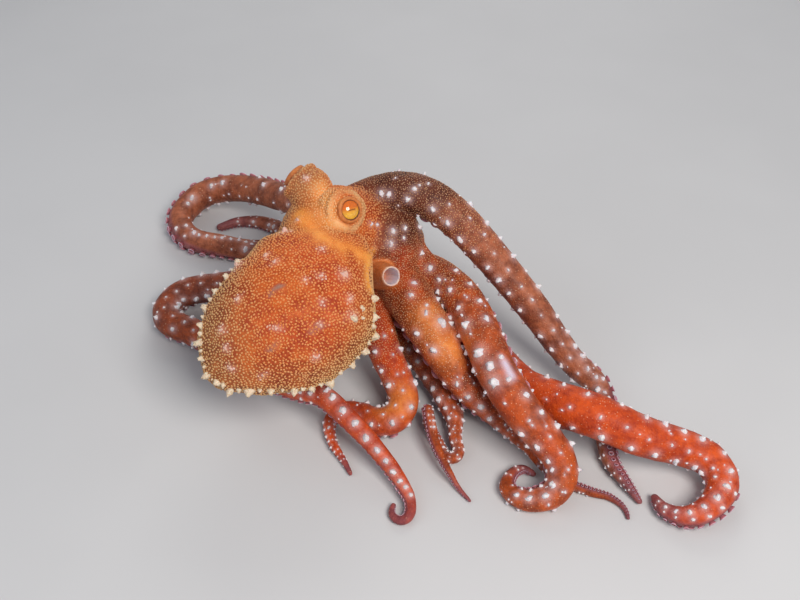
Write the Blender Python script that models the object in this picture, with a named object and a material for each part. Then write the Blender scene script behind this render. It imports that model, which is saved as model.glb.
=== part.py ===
"""White-spotted octopus, life size, in its resting pose with the arms spread and curled.

Lengths are in millimetres and are turned into metres by MM when geometry is made.
+Z is up and the floor the animal rests on is z = 0.
"""
import math
import random

import bmesh
import bpy
from mathutils import Matrix, Vector

MM = 0.001
GAP = 0.3
SEED = 604
SHIFT = Vector((-7.45, 10.70, 0.0))

# Body, each row is a section: centre x, y, z, half width, half height
MANTLE_WIDTH_AXIS = Vector((1.0, 0.0, 0.0))
MANTLE_BACK_AXIS = Vector((0.0, -0.56, 0.83))
MANTLE_SQUARE = 2.3
MANTLE_SECTIONS = [
    (-43, -24.6, 82, 26.0, 17.4),
    (-45, -35.9, 78.3, 31.0, 22.0),
    (-49, -48.4, 73.2, 35.5, 26.0),
    (-52, -59, 67, 40.0, 28.0),
    (-55, -70, 60, 41.0, 28.0),
    (-58, -78, 54.5, 37.5, 25.0),
    (-61, -85.5, 50.5, 32.0, 19.0),
    (-65, -92, 46.5, 22.0, 10.0),
]
# Papillae of the mantle: place by section number and degrees round it, then half width and height
RIM_PAPILLA = (2.1, 4.2)
BACK_PAPILLA = (1.9, 1.7)
RIM_PLACES = [
    (2.8, 18), (3.4, 14), (4.0, 8), (4.7, 358), (6.3, 350), (6.9, 40), (6.9, 100), (6.9, 135),
    (6.5, 165), (5.9, 150), (4.6, 168), (3.1, 168), (1.4, 160),
]
BACK_PLACES = [
    (3.0, 130), (2.1, 54), (3.7, 40), (2.7, 96), (4.2, 68), (5.1, 88), (4.2, 92), (1.0, 78),
    (1.6, 106), (0.4, 112), (4.2, 128), (5.2, 122), (6.6, 88),
]
PAPILLA_SIDES = 5
PAPILLA_SINK = 1.4
HEAD_WIDTH_AXIS = Vector((0.78, -0.62, 0.0))
HEAD_SECTIONS = [
    (-44, -32, 77, 19.5, 17.0),
    (-41, -21, 78, 21.5, 19.5),
    (-36, -9, 77.3, 23.0, 20.5),
    (-27, -1, 73.5, 22.0, 20.0),
    (-16, 4, 67, 18.0, 18.0),
]
BODY_SIDES = 24

# Crown, the block the arms grow from: centre and half sizes
CROWN_CENTRE = Vector((-9, 0, 61))
CROWN_HALF = Vector((22, 24, 24))

# Eyes: centre, facing direction, sizes
EYE_RIGHT = (Vector((-27.0, -18.5, 96.5)), Vector((0.50, -0.68, 0.54)))
EYE_LEFT = (Vector((-50.5, 3.0, 98.5)), Vector((-0.74, 0.54, 0.40)))
EYE_RADIUS = 7.0
TURRET_RADIUS = 11.5
TURRET_SET_BACK = 6.5
LID_RADIUS = 5.7
LID_THICKNESS = 1.2
LID_FORWARD = 4.7
RIDGE_RADIUS = 9.6
RIDGE_THICKNESS = 1.3
RIDGE_FORWARD = 0.6

# Funnel: mouth centre, direction it points to, length and radii
FUNNEL_MOUTH = Vector((-4.0, -36.4, 68.7))
FUNNEL_AXIS = Vector((0.45, -0.72, 0.53))
FUNNEL_LENGTH = 26.0
FUNNEL_ROOT_RADIUS = 8.6
FUNNEL_MOUTH_RADIUS = 5.0
FUNNEL_WALL = 0.9
FUNNEL_DEPTH = 13.0
FUNNEL_SIDES = 18

# Arms: way points of the centre line, radius at fractions of the length
ARMS = {
    "arm_r1": {
        "way": [(-26, 17, 72), (-10, 14, 82), (4, 9, 87.5), (17, 5, 85), (31, -1, 76),
                (48, -10, 60), (70, -27, 39), (90, -47, 20), (103, -58, 12), (106, -71, 8.4),
                (104, -86, 6.8), (104, -102, 6.2), (110, -116, 5.2), (115, -125, 3.4)],
        "radius": [(0, 11.5), (0.25, 10.2), (0.5, 8.6), (0.72, 6.2), (0.85, 5.2), (1, 1.6)],
        "roll": [(0, 0), (0.25, 25), (0.6, 25), (0.85, 150), (1, 160)],
        "root": 56.0,
        "cuts": [0.45, 0.70],
    },
    "arm_r2": {
        "way": [(0, -2, 45), (17, -7, 31), (34, -23, 22.5), (49, -46, 20), (62, -67, 20.5),
                (77, -81, 24.5), (95, -94, 29), (116, -102, 24), (140, -104, 16), (153, -110, 12.5),
                (154, -121, 10.5), (145, -133, 9.6), (134, -137, 8.2), (125, -132, 6.5), (122, -122, 4)],
        "radius": [(0, 11.5), (0.3, 10.2), (0.5, 11.2), (0.66, 9.8), (0.8, 8.2), (0.92, 5.2), (1, 2.0)],
        "roll": [(0, 0), (0.3, 35), (1, 45)],
        "root": 36.0,
        "cuts": [0.42, 0.73],
    },
    "arm_r3": {
        "way": [(2, -6, 49), (18, -11, 47), (32, -29, 47), (41, -55, 46), (47, -76, 42),
                (57, -92, 34), (69, -104, 25), (77, -113, 16.5), (76, -122, 11), (69, -126, 8),
                (59, -126, 6.4), (52, -119, 5), (54, -110, 4.2), (61, -105, 3.6), (66, -108, 2.8)],
        "radius": [(0, 11.2), (0.3, 10.3), (0.55, 9.6), (0.72, 7.6), (0.85, 4.8), (1, 1.6)],
        "roll": [(0, 0), (0.2, 40), (0.5, 55), (0.68, 0), (0.8, -80), (1, -80)],
        "root": 36.0,
        "cuts": [0.42, 0.66],
    },
    "arm_r4": {
        "way": [(-3, -12, 49), (6, -32, 47.5), (15, -46, 41.5), (24, -59, 33), (35, -71, 22.5),
                (50, -82, 13), (63, -94, 7.5), (73, -106, 4.2), (82, -114, 3.4), (92, -119, 3.4),
                (101, -122, 3.2), (107, -128, 2.8), (108, -134, 2.2)],
        "radius": [(0, 13.0), (0.2, 11.7), (0.34, 9.4), (0.48, 6.4), (0.66, 3.2), (0.88, 2.3), (1, 1.1)],
        "roll": [(0, 0), (0.5, 0), (0.75, 150), (1, 150)],
        "root": 36.0,
        "cuts": [0.42, 0.70],
    },
    "arm_l4": {
        "way": [(-7, -7, 34), (-1, -20, 25), (9, -35, 17), (18, -50, 12.5), (25, -65, 10.2),
                (28, -79, 9), (28, -91, 7.2), (31, -99, 5), (30, -104, 3.6), (24, -100, 3.2),
                (19, -88, 3.2), (15, -78, 4.2), (14, -74, 9), (14, -76, 14), (15, -83, 14),
                (17, -94, 11), (22, -107, 8.2), (28, -116, 3.6), (34, -124, 2.2)],
        "radius": [(0, 10.0), (0.2, 8.4), (0.36, 6.6), (0.46, 3.4), (0.58, 2.8), (0.8, 2.8), (1, 1.0)],
        "roll": [(0, 0), (0.5, 0), (0.66, -80), (1, -80)],
        "root": 34.0,
        "cuts": [0.30, 0.49, 0.66],
    },
    "arm_l3": {
        "way": [(-10, -14, 38), (-12, -33, 34), (-8, -48, 28), (-2, -60, 21), (2, -70, 15.5),
                (1, -80, 12), (-5, -84, 10.4), (-13, -79, 8.6), (-23, -71, 7), (-32, -70, 5.4),
                (-36, -77, 4.6), (-34, -89, 4), (-28, -100, 3.4), (-24, -108, 2.6)],
        "radius": [(0, 10.0), (0.3, 8.2), (0.55, 7.4), (0.7, 4.8), (0.8, 3.2), (1, 1.2)],
        "roll": [(0, 0), (1, 0)],
        "root": 34.0,
        "cuts": [0.40, 0.74],
    },
    "arm_l2": {
        "way": [(-15, 2, 46), (-36, 7, 42), (-57, 13, 34), (-78, 14, 25), (-99, 14, 18),
                (-117, 15.5, 14), (-129.5, 11, 12), (-133, 1, 10.6), (-128, -8, 10),
                (-116, -14, 10), (-98, -29, 12), (-77, -48, 15), (-56, -66, 20), (-39, -76, 24),
                (-25, -90, 22), (-12, -102, 15), (-2, -113, 8.5), (4, -123, 5.6), (5, -132, 4.6),
                (1, -137, 4), (-4, -132, 3.6), (-3, -126, 3.2)],
        "radius": [(0, 10.5), (0.2, 8.8), (0.33, 8.0), (0.42, 7.8), (0.6, 6.5), (0.78, 5.2), (0.9, 3.6),
                   (1, 1.4)],
        "roll": [(0, -20), (0.3, -30), (0.45, 20), (0.6, 0), (0.85, 0), (0.93, -80), (1, -80)],
        "root": 34.0,
        "cuts": [0.29, 0.58, 0.80],
    },
    "arm_l1": {
        "way": [(-13, 6, 58), (-31, 27, 54), (-52, 56, 44), (-74, 82, 32), (-99, 105, 21),
                (-122, 111, 14.5), (-136, 102, 10.4), (-139, 85, 9), (-128, 69, 8.6),
                (-109, 63, 8.2), (-91, 60, 7.6), (-76, 64, 7), (-73, 78, 6.4), (-86, 90, 5.8),
                (-102, 93, 5), (-115, 88, 4)],
        "radius": [(0, 10.5), (0.22, 9.0), (0.5, 8.4), (0.7, 7.0), (0.85, 5.2), (1, 2.4)],
        "roll": [(0, 0), (0.15, -75), (0.4, -92), (0.6, -80), (0.75, 0), (1, 0)],
        "root": 38.0,
        "cuts": [0.27, 0.49, 0.75],
    },
}
ARM_STEP = 1.15
ARM_STEP_MIN = 3.5
ARM_TURN = 0.32
ARM_TURN_STEP_MIN = 1.6
ARM_SIDES = 2
END_RUN = 0.8
ARM_LETTERS = "abcd"
FRAME_STEP = 2.0
FRAME_BLUR = 14.0
BEND_STEP = 1.0
BEND_REACH = 2
BEND_LIMIT = 0.68
BEND_PASSES = 160

# Suckers, in two staggered rows: radii in use, largest first, and how they sit
SUCKER_RADII = (2.6, 2.2, 1.8, 1.4, 1.05, 0.8)
SUCKER_SHARE = 0.25
SUCKER_SPREAD = 27.0
SUCKER_PITCH = 1.25
SUCKER_PITCH_MIN = 3.8
SUCKER_RISE = 0.85
SUCKER_SINK = 0.17
SUCKER_DISH = 0.45
SUCKER_SIDES = 6
SUCKER_SIDES_SMALL = 5
SUCKER_SMALL = 1.2
SUCKER_VARY = 0.08
SUCKER_ROOM = 0.6
REST_UNDER = 1.0
REST_ON_CUPS = 0.2
SETTLE_FROM = 0.5
SETTLE_TO = 4.0

# Colours of the flesh parts
FLESH = {
    "mantle": (0.62, 0.17, 0.05),
    "head": (0.66, 0.21, 0.07),
    "crown": (0.34, 0.07, 0.03),
    "funnel": (0.60, 0.24, 0.10),
    "arm": (0.50, 0.09, 0.03),
    "eye": (0.80, 0.32, 0.05),
}

for old in list(bpy.data.objects):
    bpy.data.objects.remove(old, do_unlink=True)

scene = bpy.context.scene
octopus = bpy.data.collections.new("white_spotted_octopus")
cutters = bpy.data.collections.new("octopus_cutters")
scene.collection.children.link(octopus)
scene.collection.children.link(cutters)
rng = random.Random(SEED)


def material(name, colour, rough=0.45):
    """A plain wet-looking material."""
    mat = bpy.data.materials.new(name)
    mat.use_nodes = True
    shader = mat.node_tree.nodes["Principled BSDF"]
    shader.inputs["Base Color"].default_value = (*colour, 1.0)
    shader.inputs["Roughness"].default_value = rough
    return mat


def to_world(point):
    """Millimetres in the layout to metres in the model."""
    return (Vector(point) + SHIFT) * MM


def new_object(name, verts, faces, where=octopus):
    """A mesh object with outward faces."""
    mesh = bpy.data.meshes.new(name)
    mesh.from_pydata(verts, [], faces)
    mesh.validate()
    obj = bpy.data.objects.new(name, mesh)
    where.objects.link(obj)
    tidy_normals(obj)
    return obj


def tidy_normals(obj):
    """Turn every face outward."""
    work = bmesh.new()
    work.from_mesh(obj.data)
    bmesh.ops.recalc_face_normals(work, faces=work.faces)
    work.to_mesh(obj.data)
    work.free()


def keep_largest(obj):
    """Keep only the largest closed surface of a node."""
    work = bmesh.new()
    work.from_mesh(obj.data)
    bmesh.ops.dissolve_degenerate(work, dist=0.000002, edges=work.edges)
    bmesh.ops.triangulate(work, faces=work.faces)
    work.faces.ensure_lookup_table()
    unseen = set(range(len(work.faces)))
    groups = []
    while unseen:
        stack = [min(unseen)]
        unseen.discard(stack[0])
        group = set(stack)
        while stack:
            for edge in work.faces[stack.pop()].edges:
                if len(edge.link_faces) != 2:
                    continue
                for face in edge.link_faces:
                    if face.index in unseen:
                        unseen.discard(face.index)
                        group.add(face.index)
                        stack.append(face.index)
        groups.append(group)
    groups.sort(key=len, reverse=True)
    spare = [work.faces[i] for group in groups[1:] for i in sorted(group)]
    bmesh.ops.delete(work, geom=spare, context="FACES")
    bmesh.ops.recalc_face_normals(work, faces=work.faces)
    work.to_mesh(obj.data)
    work.free()


def apply_modifier(obj, name):
    """Apply one modifier of an object."""
    bpy.ops.object.select_all(action="DESELECT")
    bpy.context.view_layer.objects.active = obj
    obj.select_set(True)
    bpy.ops.object.modifier_apply(modifier=name)


def fuse(obj, things):
    """Union of a node with closed pieces, in one step."""
    if not things:
        return
    added = bpy.data.collections.new(obj.name + "_added")
    cutters.children.link(added)
    for thing in things:
        for home in list(thing.users_collection):
            home.objects.unlink(thing)
        added.objects.link(thing)
    step = obj.modifiers.new("fuse", "BOOLEAN")
    step.operation = "UNION"
    step.operand_type = "COLLECTION"
    step.collection = added
    step.solver = "MANIFOLD"
    apply_modifier(obj, "fuse")
    for thing in things:
        bpy.data.objects.remove(thing, do_unlink=True)
    bpy.data.collections.remove(added)
    keep_largest(obj)


def carve(obj, cutter, keep=False):
    """Take a cutter away from a node."""
    for home in list(cutter.users_collection):
        home.objects.unlink(cutter)
    cutters.objects.link(cutter)
    cutter.hide_render = True
    cutter.display_type = "WIRE"
    step = obj.modifiers.new("carve", "BOOLEAN")
    step.operation = "DIFFERENCE"
    step.object = cutter
    step.solver = "MANIFOLD"
    apply_modifier(obj, "carve")
    if not keep:
        bpy.data.objects.remove(cutter, do_unlink=True)
    keep_largest(obj)


def grown_copy(obj, amount):
    """A copy of a node made larger by a clearance all round."""
    copy = obj.copy()
    copy.data = obj.data.copy()
    cutters.objects.link(copy)
    copy.name = obj.name + "_room"
    step = copy.modifiers.new("room", "DISPLACE")
    step.strength = amount * MM
    step.mid_level = 0.0
    apply_modifier(copy, "room")
    return copy


def section_spot(sections, number, degrees, axes=None, square=2.0, width_axis=None):
    """A point on an oval section; a share between two sections is allowed."""
    low = min(int(number), len(sections) - 2)
    share = number - low
    spots = []
    for i in (low, low + 1):
        row = sections[i]
        centre = Vector(row[:3])
        if axes:
            wide, high = axes
        else:
            ahead = Vector(sections[min(i + 1, len(sections) - 1)][:3])
            behind = Vector(sections[max(i - 1, 0)][:3])
            along = (ahead - behind).normalized()
            wide = (width_axis - along * width_axis.dot(along)).normalized()
            high = along.cross(wide)
        across = math.cos(math.radians(degrees))
        up = math.sin(math.radians(degrees))
        across = math.copysign(abs(across) ** (2 / square), across)
        up = math.copysign(abs(up) ** (2 / square), up)
        spots.append(centre + wide * (row[3] * across) + high * (row[4] * up))
    return spots[0].lerp(spots[1], share)


def loft(name, sections, **shape):
    """A closed body through oval sections, with rounded ends."""
    sides = BODY_SIDES
    verts = []
    for i in range(len(sections)):
        for k in range(sides):
            verts.append(to_world(section_spot(sections, i, 360 * k / sides, **shape)))
    faces = []
    for i in range(len(sections) - 1):
        for k in range(sides):
            nxt = (k + 1) % sides
            faces.append((i * sides + k, i * sides + nxt, (i + 1) * sides + nxt, (i + 1) * sides + k))
    centres = [Vector(row[:3]) for row in sections]
    first = centres[0] + (centres[0] - centres[1]).normalized() * sections[0][4] * 0.35
    last = centres[-1] + (centres[-1] - centres[-2]).normalized() * sections[-1][4] * 0.35
    verts.append(to_world(first))
    verts.append(to_world(last))
    base = (len(sections) - 1) * sides
    for k in range(sides):
        nxt = (k + 1) % sides
        faces.append((len(verts) - 2, nxt, k))
        faces.append((len(verts) - 1, base + k, base + nxt))
    return new_object(name, verts, faces)


def ball(name, centre, half, segments=16, rings=10, facing=None):
    """A sphere or oval ball."""
    bpy.ops.mesh.primitive_uv_sphere_add(segments=segments, ring_count=rings, radius=MM)
    obj = bpy.context.object
    obj.name = name
    turn = facing.to_track_quat("Z", "Y").to_matrix().to_4x4() if facing else Matrix.Identity(4)
    size = Matrix.Diagonal((*half, 1.0))
    obj.data.transform(Matrix.Translation(to_world(centre)) @ turn @ size)
    for home in list(obj.users_collection):
        home.objects.unlink(obj)
    octopus.objects.link(obj)
    return obj


def ring(name, centre, facing, radius, thickness, around=16, section=5):
    """A torus that faces a direction."""
    bpy.ops.mesh.primitive_torus_add(major_radius=radius * MM, minor_radius=thickness * MM,
                                     major_segments=around, minor_segments=section)
    obj = bpy.context.object
    obj.name = name
    turn = facing.to_track_quat("Z", "Y").to_matrix().to_4x4()
    obj.data.transform(Matrix.Translation(to_world(centre)) @ turn)
    for home in list(obj.users_collection):
        home.objects.unlink(obj)
    octopus.objects.link(obj)
    return obj


def between(steps, share):
    """Value at a share of the length, from (share, value) steps."""
    share = min(max(share, steps[0][0]), steps[-1][0])
    for (t0, v0), (t1, v1) in zip(steps, steps[1:]):
        if share <= t1:
            return v0 + (v1 - v0) * (share - t0) / (t1 - t0)
    return steps[-1][1]


def spline_point(p0, p1, p2, p3, t):
    """Centripetal spline between p1 and p2."""
    k0 = 0.0
    k1 = k0 + math.sqrt((p1 - p0).length)
    k2 = k1 + math.sqrt((p2 - p1).length)
    k3 = k2 + math.sqrt((p3 - p2).length)
    u = k1 + (k2 - k1) * t
    a1 = p0 * ((k1 - u) / (k1 - k0)) + p1 * ((u - k0) / (k1 - k0))
    a2 = p1 * ((k2 - u) / (k2 - k1)) + p2 * ((u - k1) / (k2 - k1))
    a3 = p2 * ((k3 - u) / (k3 - k2)) + p3 * ((u - k2) / (k3 - k2))
    b1 = a1 * ((k2 - u) / (k2 - k0)) + a2 * ((u - k0) / (k2 - k0))
    b2 = a2 * ((k3 - u) / (k3 - k1)) + a3 * ((u - k1) / (k3 - k1))
    return b1 * ((k2 - u) / (k2 - k1)) + b2 * ((u - k1) / (k2 - k1))


class Route:
    """Smooth centre line of an arm with its radius by arc length."""

    def __init__(self, way, radius, roll):
        pts = [Vector(p) for p in way]
        pts = [pts[0] * 2 - pts[1]] + pts + [pts[-1] * 2 - pts[-2]]
        self.line = []
        for i in range(1, len(pts) - 2):
            for k in range(12):
                self.line.append(spline_point(*pts[i - 1:i + 3], k / 12))
        self.line.append(pts[-2])
        self.steps = radius
        self.measure()
        for i, spot in enumerate(self.line):
            share = self.arc[i] / self.length
            under = REST_UNDER + REST_ON_CUPS * max(0.0, math.cos(math.radians(between(roll, share))))
            level = under * between(radius, share)
            lift = spot.z - level
            ease = min(max((lift - SETTLE_FROM) / (SETTLE_TO - SETTLE_FROM), 0.0), 1.0)
            spot.z = level + lift * ease * ease * (3 - 2 * ease) if lift > 0 else level
        self.measure()
        self.open_bends()

    def open_bends(self):
        """Ease the bends that are too tight for the thickness of the arm."""
        count = round(self.length / BEND_STEP)
        self.line = [self.at(self.length * k / count) for k in range(count + 1)]
        for _ in range(BEND_PASSES):
            self.measure()
            eased = set()
            for i in range(BEND_REACH, count - BEND_REACH + 1):
                behind = self.line[i] - self.line[i - BEND_REACH]
                ahead = self.line[i + BEND_REACH] - self.line[i]
                bend = ahead.angle(behind) / (0.5 * (behind.length + ahead.length))
                if bend * self.thick(self.arc[i]) > BEND_LIMIT:
                    eased.update(range(i - BEND_REACH, i + BEND_REACH + 1))
            if not eased:
                break
            moved = list(self.line)
            for i in eased - {0, count}:
                moved[i] = self.line[i].lerp((self.line[i - 1] + self.line[i + 1]) * 0.5, 0.5)
            self.line = moved
        self.measure()

    def measure(self):
        """Arc length along the line."""
        self.arc = [0.0]
        for a, b in zip(self.line, self.line[1:]):
            self.arc.append(self.arc[-1] + (b - a).length)
        self.length = self.arc[-1]

    def at(self, s):
        """Point at arc length s."""
        s = min(max(s, 0.0), self.length)
        low, high = 0, len(self.arc) - 1
        while high - low > 1:
            mid = (low + high) // 2
            if self.arc[mid] <= s:
                low = mid
            else:
                high = mid
        share = (s - self.arc[low]) / (self.arc[high] - self.arc[low])
        return self.line[low].lerp(self.line[high], share)

    def along(self, s):
        """Unit tangent at arc length s."""
        return (self.at(s + 1.0) - self.at(s - 1.0)).normalized()

    def step(self, s):
        """Distance to the next ring of the surface, shorter where the arm bends."""
        plain = max(ARM_STEP * self.thick(s), ARM_STEP_MIN)
        bend = max((self.along(s + k + 1.5) - self.along(s + k - 1.5)).length / 3 for k in (0, 2, 4))
        return min(plain, max(ARM_TURN / max(bend, 0.001), ARM_TURN_STEP_MIN))

    def set_sides(self, roll):
        """Work out which way the suckers face along the arm."""
        self.stations = [FRAME_STEP * k for k in range(int(self.length / FRAME_STEP) + 1)]
        lead = [self.along(s) for s in self.stations]
        side = lead[0].orthogonal().normalized()
        carried = []
        turns = []
        weights = []
        last = 0.0
        for tangent in lead:
            side = (side - tangent * side.dot(tangent)).normalized()
            other = tangent.cross(side)
            down = Vector((0, 0, -1))
            down = down - tangent * down.dot(tangent)
            turn = math.atan2(down.dot(other), down.dot(side))
            while turn - last > math.pi:
                turn -= 2 * math.pi
            while turn - last < -math.pi:
                turn += 2 * math.pi
            last = turn
            carried.append((tangent, side, other))
            turns.append(turn)
            weights.append(down.length_squared + 0.001)
        reach = int(FRAME_BLUR / FRAME_STEP)
        self.faces = []
        for i, (tangent, side, other) in enumerate(carried):
            low = max(0, i - reach)
            high = min(len(turns), i + reach + 1)
            total = sum(weights[low:high])
            turn = sum(t * w for t, w in zip(turns[low:high], weights[low:high])) / total
            turn += math.radians(between(roll, self.stations[i] / self.length))
            self.faces.append(side * math.cos(turn) + other * math.sin(turn))

    def oral(self, s):
        """Unit direction in which the suckers face at arc length s."""
        spot = min(max(s / FRAME_STEP, 0.0), len(self.faces) - 1.001)
        low = int(spot)
        mixed = self.faces[low].lerp(self.faces[low + 1], spot - low)
        tangent = self.along(s)
        return (mixed - tangent * mixed.dot(tangent)).normalized()

    def thick(self, s):
        """Arm radius at arc length s."""
        return between(self.steps, s / self.length)


def tube(name, route, face_start, face_end, closed_tip):
    """A length of arm as a bevelled curve with flat ends square to the route, or a rounded tip."""
    start = face_start + GAP / 2
    end = face_end if closed_tip else face_end - GAP / 2
    stops = [start]
    while stops[-1] < end:
        stops.append(stops[-1] + route.step(stops[-1]))
    stretch = (end - start) / (stops[-1] - start)
    stops = [start + (s - start) * stretch for s in stops]
    rows = [(route.at(s), route.thick(s)) for s in stops]
    lead = route.along(face_start)
    rows[0] = (route.at(face_start) + lead * (start - face_start), route.thick(start))
    rows.insert(1, (rows[0][0] + lead * END_RUN, rows[0][1]))
    if not closed_tip:
        lead = route.along(face_end)
        rows[-1] = (route.at(face_end) + lead * (end - face_end), route.thick(end))
        rows.insert(-1, (rows[-1][0] - lead * END_RUN, rows[-1][1]))
    if closed_tip:
        tip, size = rows[-1]
        ahead = route.along(end)
        rows.append((tip + ahead * size * 0.7, size * 0.7))
        rows.append((tip + ahead * size, size * 0.3))
    curve = bpy.data.curves.new(name, "CURVE")
    curve.dimensions = "3D"
    curve.bevel_depth = MM
    curve.bevel_resolution = ARM_SIDES
    curve.use_fill_caps = True
    line = curve.splines.new("POLY")
    line.points.add(len(rows) - 1)
    for knot, (spot, size) in zip(line.points, rows):
        knot.co = (*to_world(spot), 1.0)
        knot.radius = size * 1.03
    obj = bpy.data.objects.new(name, curve)
    octopus.objects.link(obj)
    bpy.ops.object.select_all(action="DESELECT")
    bpy.context.view_layer.objects.active = obj
    obj.select_set(True)
    bpy.ops.object.convert(target="MESH")
    obj = bpy.context.object
    work = bmesh.new()
    work.from_mesh(obj.data)
    bmesh.ops.remove_doubles(work, verts=work.verts, dist=0.00001)
    for vert in work.verts:
        vert.co.z = max(vert.co.z, 0.0)
    bmesh.ops.recalc_face_normals(work, faces=work.faces)
    work.to_mesh(obj.data)
    work.free()
    return obj


routes = {name: Route(row["way"], row["radius"], row["roll"]) for name, row in ARMS.items()}
for name, route in routes.items():
    route.set_sides(ARMS[name]["roll"])

# Mantle
mantle_shape = {"axes": (MANTLE_WIDTH_AXIS, MANTLE_BACK_AXIS.normalized()), "square": MANTLE_SQUARE}
mantle = loft("mantle", MANTLE_SECTIONS, **mantle_shape)

plain_mantle = mantle.copy()
plain_mantle.data = mantle.data.copy()
cutters.objects.link(plain_mantle)
plain_mantle.hide_render = True


def papilla(name, number, degrees, half, height):
    """A blunt cone that stands on the mantle."""
    spot = section_spot(MANTLE_SECTIONS, number, degrees, **mantle_shape)
    step = 0.05 if number < 6.9 else -0.05
    ahead = section_spot(MANTLE_SECTIONS, number + step, degrees, **mantle_shape) - spot
    round_it = section_spot(MANTLE_SECTIONS, number, degrees + 2, **mantle_shape) - spot
    outward = ahead.cross(round_it).normalized()
    low = min(int(number), len(MANTLE_SECTIONS) - 2)
    middle = Vector(MANTLE_SECTIONS[low][:3]).lerp(Vector(MANTLE_SECTIONS[low + 1][:3]), number - low)
    if outward.dot(spot - middle) < 0:
        outward = -outward
    work = bmesh.new()
    bmesh.ops.create_cone(work, cap_ends=True, segments=PAPILLA_SIDES, radius1=half,
                          radius2=half * 0.4, depth=height + PAPILLA_SINK)
    turn = outward.to_track_quat("Z", "Y").to_matrix().to_4x4()
    place = Matrix.Translation(spot + outward * (height - PAPILLA_SINK) / 2)
    bmesh.ops.transform(work, matrix=place @ turn, verts=work.verts)
    for vert in work.verts:
        vert.co = to_world(vert.co)
    mesh = bpy.data.meshes.new(name)
    work.to_mesh(mesh)
    work.free()
    obj = bpy.data.objects.new(name, mesh)
    cutters.objects.link(obj)
    return obj


fuse(mantle, [papilla("rim_papilla", number, degrees, *RIM_PAPILLA) for number, degrees in RIM_PLACES]
     + [papilla("back_papilla", number, degrees, *BACK_PAPILLA) for number, degrees in BACK_PLACES])

# Eyes
eyes = {}
for side, (centre, facing) in (("eye_right", EYE_RIGHT), ("eye_left", EYE_LEFT)):
    facing = facing.normalized()
    eyes[side] = ball(side, centre, (EYE_RADIUS,) * 3, facing=facing)

# Head with its eye mounds, lids and ridges
head = loft("head", HEAD_SECTIONS, width_axis=HEAD_WIDTH_AXIS)
head_room = grown_copy(head, GAP)
forms = []
for side, (centre, facing) in (("right", EYE_RIGHT), ("left", EYE_LEFT)):
    facing = facing.normalized()
    forms.append(ball("mound_" + side, centre - facing * TURRET_SET_BACK, (TURRET_RADIUS,) * 3,
                      facing=facing))
    forms.append(ring("lid_" + side, centre + facing * LID_FORWARD, facing, LID_RADIUS, LID_THICKNESS))
    forms.append(ring("ridge_" + side, centre + facing * RIDGE_FORWARD, facing,
                      RIDGE_RADIUS, RIDGE_THICKNESS))
fuse(head, forms)
for side, (centre, facing) in (("right", EYE_RIGHT), ("left", EYE_LEFT)):
    carve(head, ball("socket_" + side, centre, (EYE_RADIUS + GAP,) * 3, facing=facing.normalized()))

# Funnel, a tube with an open mouth
funnel_axis = FUNNEL_AXIS.normalized()
funnel_root = FUNNEL_MOUTH - funnel_axis * FUNNEL_LENGTH


def funnel_radius(share):
    """Outer radius of the funnel, from its root to its mouth."""
    return FUNNEL_ROOT_RADIUS + (FUNNEL_MOUTH_RADIUS - FUNNEL_ROOT_RADIUS) * share ** 0.8


def tube_body(name, stations):
    """A turned body from (distance along the axis, radius) stations."""
    wide = funnel_axis.orthogonal().normalized()
    high = funnel_axis.cross(wide)
    verts = []
    for along, size in stations:
        for k in range(FUNNEL_SIDES):
            turn = 2 * math.pi * k / FUNNEL_SIDES
            spot = funnel_root + funnel_axis * along
            spot = spot + (wide * math.cos(turn) + high * math.sin(turn)) * size
            verts.append(to_world(spot))
    faces = []
    for i in range(len(stations) - 1):
        for k in range(FUNNEL_SIDES):
            nxt = (k + 1) % FUNNEL_SIDES
            faces.append((i * FUNNEL_SIDES + k, i * FUNNEL_SIDES + nxt,
                          (i + 1) * FUNNEL_SIDES + nxt, (i + 1) * FUNNEL_SIDES + k))
    faces.append(tuple(range(FUNNEL_SIDES)))
    last = (len(stations) - 1) * FUNNEL_SIDES
    faces.append(tuple(range(last, last + FUNNEL_SIDES)))
    return new_object(name, verts, faces)


outer = [(FUNNEL_LENGTH * k / 4, funnel_radius(k / 4)) for k in range(5)]
inner = [(FUNNEL_LENGTH, FUNNEL_MOUTH_RADIUS - FUNNEL_WALL),
         (FUNNEL_LENGTH - 0.5 * FUNNEL_DEPTH, FUNNEL_MOUTH_RADIUS - FUNNEL_WALL),
         (FUNNEL_LENGTH - FUNNEL_DEPTH, 0.45 * FUNNEL_MOUTH_RADIUS)]
funnel = tube_body("funnel", outer + inner)

# Crown with the arm roots
crown = ball("crown", CROWN_CENTRE, CROWN_HALF, segments=20, rings=12)
fuse(crown, [tube(name + "_root", route, 0.0, ARMS[name]["root"], False) for name, route in routes.items()])

# Each soft part makes room for the one it meets
room = grown_copy(plain_mantle, GAP)
carve(head, room, keep=True)
carve(funnel, room, keep=True)
carve(crown, room)
room = grown_copy(head, GAP)
carve(crown, room, keep=True)
carve(funnel, room)
carve(crown, grown_copy(funnel, GAP))

# Arms in lengths, the first of each kept clear of the body
arm_rooms = [grown_copy(plain_mantle, GAP), head_room,
             ball("crown_room", CROWN_CENTRE, CROWN_HALF + Vector((GAP, GAP, GAP)), segments=20, rings=12)]
lengths = {}
for name, route in routes.items():
    ends = [ARMS[name]["root"]] + [route.length * c for c in ARMS[name]["cuts"]] + [route.length]
    for letter, start, end in zip(ARM_LETTERS, ends, ends[1:]):
        part = name + "_" + letter
        at_tip = end == route.length
        lengths[part] = tube(part, route, start, end, at_tip)
    for room in arm_rooms:
        carve(lengths[name + "_a"], room, keep=True)


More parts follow.
